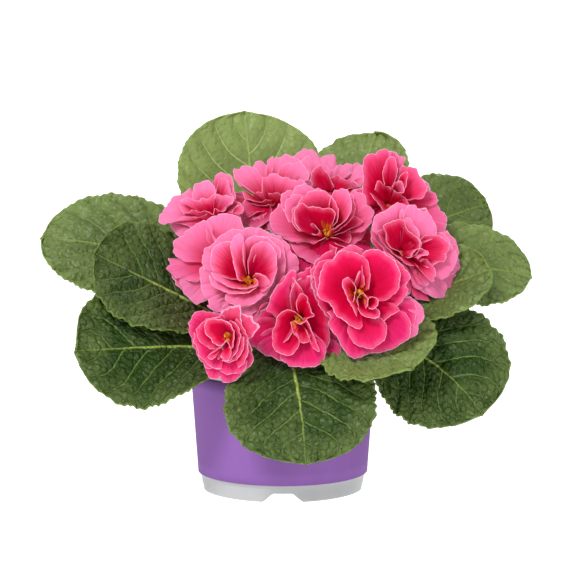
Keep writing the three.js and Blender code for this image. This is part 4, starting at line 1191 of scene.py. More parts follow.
@dataclass
class Leaf:
    """One crinkled leaf, along a midrib from the crown to its tip."""

    name: str
    azimuth: float
    rise: float
    base_height: float
    tip_azimuth: float
    reach: float
    tip_height: float
    tip_slope: float
    width: float
    stalk: float
    roll: float
    roll_by: float
    tint: float
    bronze: float
    seed: int

    RING = 9.8
    PULL = 0.42
    PETIOLE = (3.6, 4.2)
    TAPER = 0.85
    BLUNT = 0.48
    SWEEP = 1.5
    FOLD = 0.16
    WAVE = 2.6
    SKIN = 0.3
    VEINS = 10.0
    SPREAD = 0.22
    ROW = 1.15
    COLUMN = 1.25
    FEWEST_ROWS = 60
    STALK_ROWS = 13
    TIP_CROWD = 1.35
    EDGE_CROWD = 0.92
    MARGIN_END = 0.985
    TIP_FADE = (0.93, 1.0)
    BLADE_START = (0.02, 0.12)
    TOOTH = 4.1
    TOOTH_SWAY = (0.9, 0.37)
    TOOTH_DEPTH = 0.017
    LOBE = 13.0
    LOBE_SHIFT = 1.7
    LOBE_DEPTH = 0.012
    CALM = (0.42, 0.66)
    CALMED = 0.6
    WAVE_RATE = 6.5
    WAVE_SHIFT = (3.4, 1.2)
    RUFFLE = 0.9
    RIB_DEPTH = (3.2, 0.4)
    RIB_WIDTH = (1.9, 0.5)
    DOME = 1.1
    QUILT = 0.85
    PUCKER = 4.0
    LIFT_BASE = 0.9

    def midrib(self) -> Curve:
        """The leaf's midrib.

        Returns:
            The curve from the crown to the tip.
        """

        def steer(azimuth: float, slope: float) -> Array:
            """A direction from its azimuth and slope."""
            return around(math.cos(math.radians(slope)), azimuth, math.sin(math.radians(slope)))

        base = around(self.RING, self.azimuth, self.base_height)
        tip = around(self.reach, self.tip_azimuth, self.tip_height)
        pull = float(np.linalg.norm(tip - base)) * self.PULL
        bent = base + steer(self.azimuth, self.rise) * pull
        return Curve(base, bent, tip - steer(self.tip_azimuth, self.tip_slope) * pull, tip)

    def axes(self, curve: Curve, share: Array) -> tuple[Array, Array, Array]:
        """The midrib's points, with the directions across and over the blade.

        Args:
            curve: The midrib.
            share: Shares of its length, one a point.

        Returns:
            Points, directions across and directions over.
        """
        ahead = curve.ahead(share)
        azimuth = np.radians(mix(self.azimuth, self.tip_azimuth, share) + 90)
        side = np.stack([np.cos(azimuth), np.sin(azimuth), np.zeros_like(azimuth)], axis=-1)
        side = unit(side - ahead * np.sum(side * ahead, axis=-1, keepdims=True))
        angle = np.radians(self.roll * np.minimum(1, share / self.roll_by))
        side = turned(side, ahead, angle)
        return curve.at(share), side, np.cross(ahead, side)

    def outline(self, x: Array) -> Array:
        """The blade's half width, as a share of its widest.

        Args:
            x: Shares of the blade's length.

        Returns:
            The half width at each.
        """
        widest = self.TAPER / (self.TAPER + self.BLUNT)
        x = np.clip(x, 0, 1)
        return (x / widest) ** self.TAPER * ((1 - x) / (1 - widest)) ** self.BLUNT

    def lobed(self, along: Array, shift: Union[float, Array] = 0.0) -> Array:
        """The wave of the lobes at distances along the margin."""
        return np.sin(along * 2 * math.pi / self.LOBE + self.seed * self.LOBE_SHIFT + shift)

    def ragged(self, along: Array, blade: Array) -> Array:
        """How teeth and lobes widen or narrow the blade.

        Args:
            along: Distances along the margin in millimetres.
            blade: 1 on the blade and 0 on its stalk.

        Returns:
            Factors on the half width.
        """
        sway, rate = self.TOOTH_SWAY
        teeth = np.sin(along * 2 * math.pi / self.TOOTH + sway * np.sin(along * rate + self.seed))
        calm = 1 - self.CALMED * smooth(self.tint, *self.CALM)
        return 1 + blade * calm * (self.TOOTH_DEPTH * teeth + self.LOBE_DEPTH * self.lobed(along))

    def surface(self) -> Surface:
        """The finished blade.

        Returns:
            The closed surface with its painted values.
        """
        curve = self.midrib()
        length = curve.length * (1 - self.stalk)
        rows = max(self.FEWEST_ROWS, int(length / self.ROW))
        columns = 2 * int(self.width / 2 / self.COLUMN) + 1
        out = 1 - (1 - np.linspace(0.0, 1.0, rows)) ** self.TIP_CROWD
        stem = np.linspace(0.0, 1.0, self.STALK_ROWS + 1)[:-1]
        t = np.linspace(-1, 1, columns)
        t = np.sign(t) * np.abs(t) ** self.EDGE_CROWD
        middle = np.concatenate([self.stalk * stem, mix(self.stalk, 1.0, out**self.SWEEP)])
        margin = np.concatenate([self.stalk * stem, mix(self.stalk, 1.0, out * self.MARGIN_END)])
        stalk_half = np.concatenate([mix(*self.PETIOLE, stem), np.full(rows, self.PETIOLE[1])])
        x = np.concatenate([np.zeros(len(stem)), out])
        wide = np.maximum(self.width / 2 * self.outline(x), stalk_half * (1 - smooth(x, *self.TIP_FADE)))
        along = margin * curve.length
        blade = smooth(x, *self.BLADE_START)
        half = (wide * self.ragged(along, blade))[:, None]
        x, along, blade = x[:, None], along[:, None], blade[:, None]
        reach = np.abs(t)[None, :]
        share = mix(middle[:, None], margin[:, None], reach)
        shape = share.shape
        origin, side, up = (part.reshape(*shape, 3) for part in self.axes(curve, share.ravel()))
        fold = self.FOLD * half * reach**1.4 * (1 - 0.6 * x)
        phase = np.where(t > 0, self.WAVE_SHIFT[1], self.WAVE_SHIFT[0])[None, :] + self.azimuth
        wave = self.WAVE * x * reach**2 * np.sin(self.WAVE_RATE * x + phase)
        ruffle = self.RUFFLE * blade * reach**4 * self.lobed(along, 1.5 * t[None, :])
        flat_x = t[None, :] * half
        flat_y = share * curve.length
        veins, lift = self.relief(t, x, reach, flat_x, flat_y)
        points = origin + side * flat_x[..., None] + up * (fold + wave + ruffle + lift * blade)[..., None]
        rib = np.exp(-((flat_x / mix(*self.RIB_WIDTH, share)) ** 2))
        values = {
            "edge": np.minimum((1 - reach) * half, (1 - x) * length),
            "stem": share,
            "tint": np.full(shape, self.tint),
            "bronze": self.bronze * smooth(1 - share, 0.25, 0.8),
            **veins,
        }
        chart = np.stack([flat_x * MM + 0.1 * self.seed, flat_y * MM], axis=-1)
        made = Surface()
        under = self.SKIN + mix(*self.RIB_DEPTH, share) * rib
        made.add_sheet(points, np.full(shape, self.SKIN), under, chart, values)
        return made

    def relief(
        self, t: Array, x: Array, reach: Array, across: Array, along: Array
    ) -> tuple[Painted, Array]:
        """The veins and the quilting between them.

        Args:
            t: Places across the blade from -1 to 1.
            x: Shares of the blade's length.
            reach: Distance from the midrib as a share of the half width.
            across: Distance from the midrib in millimetres.
            along: Distance along the midrib in millimetres.

        Returns:
            Painted values that place the veins, and how far the blade is lifted.
        """
        shift = np.where(t > 0, 0.0, 0.47)[None, :]
        wander = 0.07 * np.sin(reach * 5.0 + x * 19.0 + self.seed)
        order = self.VEINS * (x - self.SPREAD * reach * (0.6 + 0.4 * reach)) + shift + wander
        spacing = self.width * 1.2 / self.VEINS
        beside = np.abs(order - np.round(order)) * spacing
        near, following = cells(across, along, self.PUCKER, self.seed)
        web = (following - near) * self.PUCKER
        dome = self.DOME * smooth(beside, 0.0, spacing * 0.42)
        quilt = self.QUILT * smooth(web, 0.0, 1.7) * (1 - 0.7 * smooth(np.array(self.tint), 0.42, 0.75))
        trough = 1 - np.exp(-((across / 2.2) ** 2))
        quiet = smooth(1 - reach, 0.0, 0.12)
        lift = (dome + quilt * (0.3 + 0.7 * quiet)) * trough - self.LIFT_BASE
        return {"rank": order, "web": web, "side": np.abs(across)}, lift

    def build(self, material: Material) -> Piece:
        """Makes the leaf."""
        piece = self.surface().piece(self.name.replace("leaf", "blade"), material)
        return report(piece, Slot.LEAVES, self.name)


@dataclass
class Foliage:
    """All the plant's leaves."""

    rows: tuple = (
        ("leaf_front", -92, 62, 74, -82, 90, 30, -80, 84, 0.2, 5, 0.6, 0.1, 0.0),
        ("leaf_front_left", -135, 16, 76, -154, 128, 88, 2, 78, 0.12, -56, 0.7, 0.06, 0.2),
        ("leaf_front_right", -36, 42, 74, -27, 125, 52, -50, 78, 0.24, 44, 0.7, 0.08, 0.1),
        ("leaf_left_low", 176, 56, 74, 169, 141, 139, 2, 68, 0.16, -46, 0.35, 0.34, 0.0),
        ("leaf_left_high", 206, 35, 80.5, 191, 108, 138, 30, 73, 0.2, -47, 0.35, 0.1, 0.9),
        ("leaf_right_low", 2, 50, 74, 4, 142, 119, -16, 56, 0.18, 46, 0.35, 0.36, 0.1),
        ("leaf_right_mid", -18, 36, 80.5, -15, 120, 130.5, 26, 48, 0.34, 48, 0.35, 0.3, 0.1),
        ("leaf_right_high", 31, 47, 74, 27, 133, 154, 10, 62, 0.3, 48, 0.35, 0.24, 0.0),
        ("leaf_back_right", 67, 52, 80.5, 58, 102, 192, 54, 57, 0.55, 8, 0.35, 0.5, 0.0),
        ("leaf_back_left", 114, 60, 80.5, 106, 80, 206, 70, 90, 0.18, 0, 0.35, 0.66, 0.0),
        ("leaf_under_blooms", -57.5, 24, 80.5, -48, 107, 82, -18, 70, 0.3, 24, 0.6, 0.44, 0.1),
        ("leaf_rear_left", 142, 48, 74, 136, 112, 62, -52, 70, 0.18, 10, 0.6, 0.2, 0.0),
        ("leaf_rear", 106, 60, 74, 97, 90.3, 40, -72, 74, 0.14, 0, 0.6, 0.25, 0.0),
        ("leaf_rear_right", 68, 48, 74, 46, 112, 60, -52, 70, 0.2, -10, 0.6, 0.2, 0.0),
    )

    def build(self) -> list[Piece]:
        """Makes every leaf."""
        material = LeafFinish().material()
        return [Leaf(*row, seed=k + 1).build(material) for k, row in enumerate(self.rows)]


# ---- Blooms ----


@dataclass(frozen=True)
class Plan:
    """One petal of a planned outline.

    Attributes:
        high: How far its rim stands out from the throat, in millimetres.
        rim: Millimetres right and up from the throat of each of its rim's corners in turn.
        pale: How much paler it is than its bloom; a value below 0 darkens it, which on the rear filler petals
            is painted shade.
        flush: How much more of it is crimson.
        cup: How late it rises from root to rim. Over 1 it is hollow, and under 1 it is domed.
    """

    high: float
    rim: tuple[float, ...]
    pale: float = 0.0
    flush: float = 0.0
    cup: float = 0.8


# The first petal of bloom_03, bloom_01, bloom_06 and bloom_08, with pale -0.2 and a crimson flush, is a
# darkened rear filler: painted shade for the shadow in the gaps between blooms.
PLANS: dict[str, tuple[Plan, ...]] = {
    "bloom_02": (
        Plan(-6, (7.5, 22.6, 10.8, 27.6, 17.5, 24.8, 22.5, 20.9, 23.6, 17, 26.9, 13.7, 28.1, 8.6, 27.5, 3.1,
            24.2, -1.9, 19.7, -4.2)),
        Plan(-6, (-20.4, 13.7, -24.3, 11.4, -27.1, 7.5, -28.7, 3.6, -27.1, -1.4, -23.7, -5.3, -19.3, -8.6)),
        Plan(-6, (-23.7, -14.2, -20.4, -17.5, -17.6, -19.7, -13.7, -19.2, -10.4, -20.9, -7, -23.1,
            -3.1, -23.1, 0.8, -20.9, 4.7, -18.1, 7.5, -14.2, 9.7, -10.8), 0.2),
        Plan(-4.5, (-24.8, 5.9, -26, 10.9, -25.4, 15.9, -22.6, 19.2, -17.6, 20.9, -12.6, 20.9)),
        Plan(-4, (-22.6, 17, -19.3, 21.5, -15.9, 24.8, -12, 27.6, -7, 28.7, -2, 27.6, 0.8, 24.8)),
        Plan(-3.5, (-7, 24.8, -3.1, 28.1, 0.8, 29.8, 5.2, 29.2, 8.6, 28.1, 11.9, 25.9, 14.1, 21.5), 0.1),
        Plan(-2.5, (7.5, 24.8, 11.9, 24.2, 16.9, 22.6, 19.7, 18.1, 20.3, 12.5, 20.8, 8.6, 19.7, 3.1,
            16.9, -1.9, 13.6, -6.4), 0, 0.3),
        Plan(-3, (-26.5, -1.9, -26, -5.8, -23.7, -9.2, -19.8, -11.4, -14.8, -12, -9.2, -11.4), 0, 0.1),
        Plan(-2.5, (-22.6, -10.3, -21.5, -14.2, -18.7, -17, -14.8, -17.5, -10.4, -16.4, -4.8, -14.2), 0.3),
        Plan(-2, (-11.5, -15.9, -8.7, -19.2, -4.8, -21.4, -0.9, -20.9, 3, -18.1, 8, -13.6, 12.5, -8.1,
            15.8, -2.5), 0.1, 0.1),
        Plan(-0.5, (-14.8, -14.2, -9.2, -16.4, -2.6, -15.3, 3.6, -12.5, 9.1, -8.6, 13.6, -3,
            15.8, 2.5), 0.1, 0.1),
        Plan(1.5, (-1.5, 5.9, -3.1, 10.9, -3.7, 17, -2, 21.5, 1.3, 24.2, 5.8, 24.8, 10.2, 23.7, 14.1, 20.9,
            17.5, 17, 18, 12.5), 0, 0.4, cup=1),
        Plan(3, (-5.9, 0.9, -10.4, 0.9, -13.7, 2, -17.6, 3.1, -20.4, 7.5, -20.9, 13.1, -19.3, 18.1,
            -15.4, 20.9, -10.9, 21.5, -7, 20.9, -3.7, 17), 0, 0.6, cup=1.4),
        Plan(4, (0.2, 3.6, -0.3, 10.3, 0.8, 14.8, 2.4, 18.7, 5.2, 20.9, 8.6, 21.5, 12.5, 19.8, 14.7, 16.4,
            15.8, 12, 15.8, 7, 14.7, 1.4, 11.9, -3.6, 7.5, -6.4), 0.2, 0.5, cup=1.3),
        Plan(2.5, (-12.6, -7.5, -12.6, -10.8, -9.8, -13.1, -4.8, -14.2, 0.8, -13.6, 5.8, -10.8, 9.7, -7.5,
            11.9, -3, 10.8, 0.9, 7.5, 3.6, 4.1, 4.2), 0.2, 0.1),
        Plan(3.8, (-21.5, 3.1, -20.9, -1.4, -17.6, -4.2, -13.1, -6.4, -7.6, -7.5, -0.9, -6.9, 3, -5.3,
            5.8, -2.5), 0.2, 0.2, cup=0.9),
        Plan(5, (-20.9, 4.8, -18.7, 1.4, -14.8, -1.4, -10.4, -3.6, -4.8, -4.7, 0.8, -4.2, 4.7, -3,
            5.2, -0.3, 3.6, 1.4), 0.3, 0.2, cup=1),
        Plan(6, (-4.2, -0.3, -5.9, 0.9, -7.6, 7, -9.2, 14.2, -9.8, 19.8, -8.1, 23.7, -4.8, 25.9, -2.6, 22.6,
            -3.1, 17, -2.6, 10.3), 0.4, 0.2, cup=0.9),
    ),
    "bloom_03": (
        Plan(-9, (-14.7, 24.1, -21.3, 20.7, -27.4, 15.2, -31.9, 7.4, -32.4, -1.4, -28, -9.2, -21.3, -15.9,
            -13.6, -20.3), -0.2, 0.5),
        Plan(-8, (-23.5, 15.2, -27.4, 15.2, -29.6, 13, -28, 9.7, -30.2, 6.3, -29.6, 1.9, -25.8, -2,
            -21.3, -3.7), 0.2),
        Plan(-7, (22.5, -3.7, 26.4, -1.4, 29.7, -2.5, 33, -5.3, 35.8, -9.2, 35.8, -13.6, 33, -17.5,
            32.5, -21.4, 29.1, -24.2, 23, -24.7), 0.5),
        Plan(-6, (21.9, -4.2, 26.4, -3.7, 29.7, -4.2, 31.4, -7.5, 31.4, -12.5, 30.3, -16.4, 28.6, -20.3,
            25.3, -24.7), 0, 0.3),
        Plan(-5, (-13.6, 19.1, -18.6, 18.5, -22.4, 16.9, -24.7, 13.5, -25.2, 9.1, -24.7, 4.1,
            -22.4, -0.9), 0, 0.2),
        Plan(-5, (-14.1, 19.6, -11.3, 23, -7.5, 25.7, -3.6, 26.8, -0.3, 25.7, 2.5, 24.1), 0.3),
        Plan(-4, (22.5, -9.2, 25.8, -10.9, 28, -14.7, 28.6, -19.2, 28, -23.6, 25.3, -26.4, 20.8, -29.2,
            16.4, -31.4, 10.8, -32.5, 5.3, -33, 0.9, -31.4), 0, 0.4),
        Plan(-3.5, (-18, -10.3, -15.8, -13.1, -17.4, -17, -16.3, -20.3, -13, -23.1, -11.3, -26.9,
            -8.6, -31.4, -5.8, -34.7, -1.4, -35.8, 3.1, -34.2, 6.4, -31.9, 5.3, -28.6), 0, 0.3),
        Plan(-2.5, (13.6, 23.5, 18.1, 20.7, 21.9, 17.4, 24.7, 14.6, 27.5, 11.3, 28, 8, 25.8, 4.7, 26.9, 1.9,
            25.3, -2, 21.4, -6.4, 16.4, -9.8, 10.8, -12, 6.4, -11.4), 0.2, 0.5, cup=0.9),
        Plan(-1, (18.6, -5.3, 20.8, -7, 22.5, -9.2, 19.2, -10.9, 16.4, -13.1, 13.1, -15.3, 9.7, -14.7,
            7, -12), 0.1, 0.8, cup=0.9),
        Plan(0.5, (-4.7, -15.9, -6.4, -19.2, -5.2, -23.6, -3, -26.9, 0.9, -29.2, 6.4, -30.3, 10.8, -28.1,
            14.2, -24.7, 15.3, -20.3, 14.7, -16.4, 11.4, -13.6, 7.5, -13.6), 0.1, 0.5, cup=0.7),
        Plan(1, (3.1, 4.7, 2, 13, 0.9, 19.6, 3.1, 23, 7.5, 24.6, 12, 23.5, 16.4, 20.7, 20.3, 16.9,
            22.5, 11.9, 22.5, 6.9, 21.4, 2.4, 18.1, -1.4, 14.2, -3.7, 8.6, -4.2), 0, 0.6),
        Plan(2, (5.3, 2.4, 5.9, 7.4, 5.9, 13, 4.7, 17.4, 2, 20.7, -1.9, 22.4, -5.8, 23, -9.1, 24.1,
            -12.5, 21.3, -14.7, 18.5, -18.6, 16.9, -20.8, 13, -21.9, 7.4, -22.4, 3.6, -23, 0.2, -21.3, -3.1,
            -16.9, -4.8, -14.7, -8.1, -12.5, -12, -8.6, -14.7, -4.7, -17.5, -0.3, -19.7, 2, -17.5), 0, 0.6),
        Plan(4, (-0.8, -8.1, 0.9, -10.9, 4.2, -13.1, 8.1, -13.6, 10.8, -12.5, 11.4, -9.8,
            7.5, -7), 0.2, 0.4, cup=1),
        Plan(6, (-1.4, -12.5, -3.6, -8.1, -5.8, -3.7, -8, 0.8, -9.1, 4.7, -9.1, 7.4, -6.4, 9.1, -3.6, 6.3,
            -1.9, 3, -2.5, -1.4, -3.6, -4.8), 0.4, 0.2, cup=1),
        Plan(6, (-0.3, -7, -1.4, -3.7, 0.3, -0.3, 2.5, 0.2, 4.2, -2, 4.7, -5.3,
            3.6, -8.1), 0.2, 0.3, cup=1),
        Plan(6.5, (4.7, -7, 4.7, -3.7, 5.9, -2, 8.6, -2, 10.3, -3.7, 9.7, -7, 7.5, -8.6,
            5.3, -8.1), 0.2, 0.5, cup=1.5),
    ),
    "bloom_01": (
        Plan(-8, (-26.5, -0.7, -24.9, -8.6, -19.8, -15.8, -13.1, -20.9, -5.2, -21.5, 3.8, -17.5,
            12.7, -11.9, 21.7, -5.2), -0.2, 0.5),
        Plan(8, (-20.9, 19.5, -18.7, 22.9, -17, 25.7, -13.6, 26.2, -9.7, 25.1, -5.8, 24, -2.4, 22.9,
            0.4, 20.6), 0.2, cup=0.9),
        Plan(7, (-23.2, 10, -26, 14.5, -26, 18.9, -24.3, 22.3, -20.9, 22.9, -17, 21.7), 0.1, cup=0.9),
        Plan(2, (9.9, 17.3, 12.7, 21.7, 15.5, 23.4, 18.9, 21.7, 21.7, 18.9, 22.3, 14.5, 25.1, 13.3,
            27.3, 10.5, 26.8, 6, 22.8, 1.5, 18.3, -0.7), 0.2, 0.3),
        Plan(9, (-21.5, 4.9, -23.7, 10.5, -23.7, 15.6, -21.5, 18.9, -17.6, 20.6,
            -13.6, 20.1), 0.1, 0.1, cup=0.9),
        Plan(-3, (-23.2, -4.1, -20.9, -6.9, -18.7, -10.8, -15.3, -14.2, -10.8, -17, -6.3, -18.1, -1.3, -17,
            4.3, -14.2, 9.9, -10.2, 15.5, -6.9, 20, -2.9, 23.4, 2.7, 25.1, 8.3), 0.2, 0.3, cup=0.7),
        Plan(0, (-24.3, 10.5, -26.5, 15, -28.8, 15, -30.5, 11.6, -32.7, 8.3, -32.7, 4.9, -30.5, 1,
            -26.5, -2.4, -22.6, -4.6, -18.7, -6.3, -14.2, -5.7, -9.2, -6.9, -4.7, -5.7,
            -1.3, -3.5), 0.1, 0.2),
        Plan(5, (10.5, 19.5, 13.9, 20.6, 15, 17.3, 15.5, 12.8, 14.4, 8.3, 11, 4.4, 7.1, 1,
            3.8, -0.7), 0.1, 0.5, cup=0.9),
        Plan(11, (0.9, 15, 2.1, 19.5, 4.3, 22.9, 8.2, 24, 11.6, 21.7, 13.3, 17.8, 13.3, 12.8, 12.2, 8.8,
            8.8, 4.9, 4.9, 2.1, 2.1, 1), 0.2, 0.3, cup=1),
        Plan(11, (-15.9, -0.1, -19.3, 3.8, -19.8, 8.8, -19.3, 12.8, -16.4, 15.6, -14.2, 18.9, -10.3, 21.7,
            -5.2, 22.9, -0.7, 22.3, 2.1, 19.5, 4.9, 15, 6, 10.5, 5.4, 6, 2.6, 2.7), 0.1, 0.5, cup=1),
        Plan(2, (12.7, 8.3, 15.5, 8.3, 18.9, 6.6, 19.5, 4.4, 15.5, 2.7, 11, 0.4, 7.1, -1.3,
            3.8, -2.4), 0.1, 0.8, cup=0.9),
        Plan(0, (12.7, 0.4, 13.3, -4.1, 11.6, -6.3, 7.1, -4.6, 2.1, -3.5), 0.1, 0.7, cup=0.9),
        Plan(12, (-14.8, -0.1, -18.1, 4.4, -18.7, 9.4, -17.6, 13.3, -14.8, 15.6, -11.4, 13.9, -6.9, 13.3,
            -1.3, 12.8, 2.1, 12.8, 4.3, 9.4, 2.6, 3.8), 0, 0.9, cup=1.2),
        Plan(3, (-12, 0.4, -12.5, 2.7, -9.7, 4.4, -6.3, 2.7, -4.7, -0.1, -6.9, -2.4,
            -9.2, -1.3), 0.4, 0.2, cup=1),
    ),
    "bloom_04": (
        Plan(-7, (13.7, -11.5, 17, -12.1, 20.4, -11.5, 23.7, -14.3, 24.2, -18.1, 22, -20.9, 18.2, -23.7,
            16.5, -20.4, 13.7, -15.9), 0.4, 0.2),
        Plan(-6, (-27.8, -7.1, -26.1, -1, -24.4, 3.4, -20.6, 6.2, -16.1, 8.4, -11.7, 7.8), 0.2),
        Plan(-5, (-19.5, -22.6, -23.9, -18.1, -27.2, -13.2, -28.3, -8.7, -25.5, -3.2, -21.7, 0.7,
            -16.7, 1.2, -11.2, 0.1, -7.3, -2.7), 0.1, 0.4),
        Plan(-4, (-12.3, -4.9, -17.2, -6, -20.6, -9.3, -22.2, -14.3, -21.7, -19.8, -18.9, -23.7, -15, -25.9,
            -13.9, -28.1, -11.7, -30.3, -7.3, -31.4, -2.9, -30.9, 1.6, -28.7), 0.4),
        Plan(-3, (-4, 11.7, -4, 16.1, -2.3, 21.7, 0.5, 25.5, 3.8, 26.7, 5.4, 28.9, 9.9, 30, 13.7, 28.3,
            14.8, 21.7), 0.1, 0.4, cup=0.9),
        Plan(-2, (7.1, 18.9, 11.5, 15, 15.4, 10.6, 17, 5.1, 18.2, 0.7, 17, -4.9, 18.2, -10.4, 15.9, -15.9,
            13.7, -19.3, 10.4, -15.9), 0, 1),
        Plan(-1, (-11.7, 0.7, -15, 3.4, -17.2, 5.1, -16.1, 9.5, -14.5, 13.9, -12.8, 18.4, -8.9, 21.1,
            -6.2, 25, -4, 27.2, -1.2, 27.2, -0.7, 24.4, -2.9, 18.9, -4, 12.3,
            -3.4, 5.1), 0.2, 0.3, cup=0.9),
        Plan(1, (-9.5, -18.1, -9.5, -22, -6.7, -25.3, -3.4, -27.6, 1, -28.7, 5.4, -27.6, 9.9, -27,
            13.2, -24.2, 15.4, -20.4, 15.4, -15.4, 13.7, -11.5, 8.2, -8.7), 0.3, 0.2),
        Plan(4, (3.2, -0.4, 1, 1.8, -1.2, 4, -5.1, 5.1, -8.9, 4, -11.2, 0.7, -12.3, -3.2, -13.9, -7.1,
            -13.9, -11.5, -13.4, -15.4, -11.2, -18.1, -7.3, -19.8, -3.4, -19.8, -0.7, -17, 1, -13.2,
            0.5, -9.9, -1.2, -7.6), 0.1, 0.6, cup=1.4),
        Plan(3, (-4, -1.6, -2.9, -6, -0.1, -10.4, 2.1, -12.6, 6, -12.6, 7.1, -8.7), 0.1, 0.9, cup=1),
        Plan(5, (-0.1, 5.1, -0.7, 9, 0.5, 12.8, 2.1, 14.5, 4.9, 15.6, 7.6, 13.9, 7.1, 9.5, 8.8, 6.2,
            10.4, 4, 9.3, 1.8, 6, 0.7, 3.8, -1.6, 1, -2.7, -1.8, -1), 0.1, 0.6, cup=1),
        Plan(5, (4.9, -0.4, 6.5, -2.7, 8.2, -7.6, 10.4, -12.6, 12.1, -17, 11.5, -18.1, 9.3, -16.5,
            7.6, -14.3, 6.5, -10.4, 4.9, -6), 0.4, 0.3, cup=0.9),
    ),
    "bloom_06": (
        Plan(-8, (-4.6, -6.6, -1.8, -14.4, 2.1, -22.3, 7.7, -27.3, 14.5, -28.4), -0.2, 0.6),
        Plan(-7, (20.1, -16.7, 26.8, -13.3, 29.6, -14.4, 29, -17.8, 25.7, -21.1, 23.4, -24.5, 20.1, -26.7,
            15.6, -26.2), 0.1, 0.2),
        Plan(-6, (24, 11.3, 26.8, 8, 29, 5.2, 30.7, 1.3, 30.1, -2.7, 31.3, -6.6, 30.7, -11.1, 27.3, -13.3,
            23.4, -14.4), 0.2, 0.1),
        Plan(-5, (10, -18.9, 7.7, -21.1, 9.4, -22.8, 14.5, -25.6, 18.9, -26.7, 22.3, -26.2, 24, -22.3,
            23.4, -18.3, 20.6, -15.5), 0.3),
        Plan(-4, (-15.8, 20.9, -18.6, 16.4, -20.3, 10.8, -18.6, 6.9, -14.1, 2.9, -10.2, -1.5, -5.1, -5.5,
            -0.7, -9.4, 2.7, -13.3, 3.8, -17.2, 5.5, -20.6, 8.9, -21.7, 13.3, -19.5), 0.2, 0.2),
        Plan(-2, (-15.2, 13.6, -16.3, 10.8, -15.2, 7.4, -11.9, 2.9, -7.4, -1, -2.3, -4.9, 2.1, -8.8,
            6.1, -11.1, 7.2, -15, 6.6, -17.8, 9.4, -19.5, 13.3, -18.9, 12.8, -16.1), 0.1, 0.4),
        Plan(-1, (17.8, 10.2, 21.2, 9.7, 24.5, 6.9, 25.7, 3.5, 28.5, 0.1, 29.6, -4.3, 28.5, -8.3,
            25.7, -12.2, 23.4, -15.5, 20.1, -16.1, 16.1, -14.4), 0.2, 0.2),
        Plan(1, (-18, 10.2, -18, 14.7, -16.9, 18.6, -14.1, 20.9, -10.2, 22, -7.4, 24.8, -3.5, 26.5,
            0.5, 25.3, 3.8, 23.7), 0.3, 0.1),
        Plan(2, (-0.1, 18.1, 0.5, 22.5, 2.7, 25.3, 5.5, 25.3, 7.7, 22.5, 11.1, 22, 13.9, 20.3, 16.1, 16.9,
            17.8, 11.9, 17.8, 8, 14.5, 5.7), 0.4),
        Plan(1, (-11.3, 11.9, -15.2, 10.2, -13.5, 6.3, -10.2, 1.8, -6.3, -2.1, -1.8, -5.5, 2.1, -8.3,
            5.5, -8.8), 0, 0.6, cup=0.9),
        Plan(3, (7.7, 2.4, 8.9, 5.7, 11.1, 8, 15.6, 8.5, 20.1, 7.4, 23.4, 5.7, 25.1, 1.8, 23.4, -2.1,
            22.3, -6, 18.9, -6.6, 15.6, -8.8, 12.2, -9.9), 0, 0.7, cup=1.2),
        Plan(4, (8.9, -6.6, 11.1, -4.9, 13.9, -6.6, 16.1, -9.4, 17.3, -12.7, 16.7, -16.1, 15.6, -17.8,
            12.8, -15.5, 9.4, -12.2, 7.2, -8.8), 0.1, 0.5, cup=1),
        Plan(4, (-2.9, 18.6, -2.3, 22, -1.2, 23.1, -0.1, 21.4, -0.7, 18.1), 0.5, cup=0.9),
        Plan(4, (-0.7, 15.8, 0.5, 18.1, 2.1, 18.1, 4.4, 15.8, 7.2, 11.3, 8.9, 6.9, 9.4, 2.4,
            7.7, -1), 0.4, 0.1, cup=0.9),
        Plan(5, (-1.2, -3.2, -3.5, -0.4, -7.9, 1.3, -10.2, 5.2, -10.7, 9.7, -11.9, 13.6, -9.1, 15.3,
            -5.7, 16.4, -2.3, 17.5, -0.1, 15.8, 1, 11.9, 4.4, 9.1, 7.7, 6.3, 8.9, 3.5, 7.2, -1, 4.4, -3.8,
            1, -4.3), 0, 0.7, cup=1.4),
        Plan(7, (3.3, -4.3, 4.9, -1.5, 7.2, 0.7, 10.5, 0.7, 13.3, -1, 12.8, -2.7, 9.4, -3.2,
            7.2, -4.9), 0.5, 0.1, cup=1),
    ),
    "bloom_05": (
        Plan(-5, (-12.7, -16, -11.6, -20.5, -8.8, -23.8, -5.5, -24.3, -3.3, -22.1, -0.5, -20.5), 0.3, 0.1),
        Plan(-5, (-4.4, -22.1, -2.1, -25.5, 1.2, -26, 4.5, -24.9, 7.3, -22.1, 9, -18.2), 0.3),
        Plan(-5, (7.3, -21.6, 10.6, -18.8, 13.4, -16, 14.5, -12.7, 13.4, -8.3), 0.1, 0.3),
        Plan(-4, (-19.3, 0.6, -21, 4.5, -20.5, 8.4, -18.8, 11.7, -15.5, 13.4, -11, 13.4, -7.1, 12.3,
            -2.7, 11.7, 0.6, 9.5), 0.1, 0.1),
        Plan(-3, (-20.5, 6.2, -21, 1.7, -19.3, -2.7, -18.2, -7.1, -16, -11.6, -13.2, -15.5, -11, -18.2,
            -8.2, -18.2), 0.1, 0.2),
        Plan(-2, (-11, -10.5, -10.5, -13.8, -7.7, -17.1, -4.4, -19.4, -0.5, -21, 3.4, -21, 7.3, -20.5,
            10.1, -17.7, 11.2, -13.8), 0.2, 0.3),
        Plan(-1, (-18.2, 1.7, -18.2, -2.7, -16.6, -7.1, -13.8, -12.7, -10.5, -16, -6.6, -18.2,
            -2.7, -18.2), 0.1, 0.2),
        Plan(-0.5, (5.1, 9.5, 7.8, 6.7, 10.6, 1.7, 11.7, -3.8, 11.7, -8.8, 10.6, -13.2, 8.4, -16,
            6.2, -17.7), 0, 0.7),
        Plan(0.5, (-3.8, 10.6, -9.9, 9.5, -14.4, 6.7, -16.6, 2.3, -16, -1.6, -13.2, -4.9, -9.4, -7.1,
            -4.9, -7.1, -1, -4.4), 0, 0.4, cup=0.9),
        Plan(1, (9.5, -0.5, 9.5, -5.5, 8.4, -9.4, 5.6, -12.7, 1.7, -14.9, -1.6, -13.8,
            -3.8, -11), 0.1, 0.4, cup=0.9),
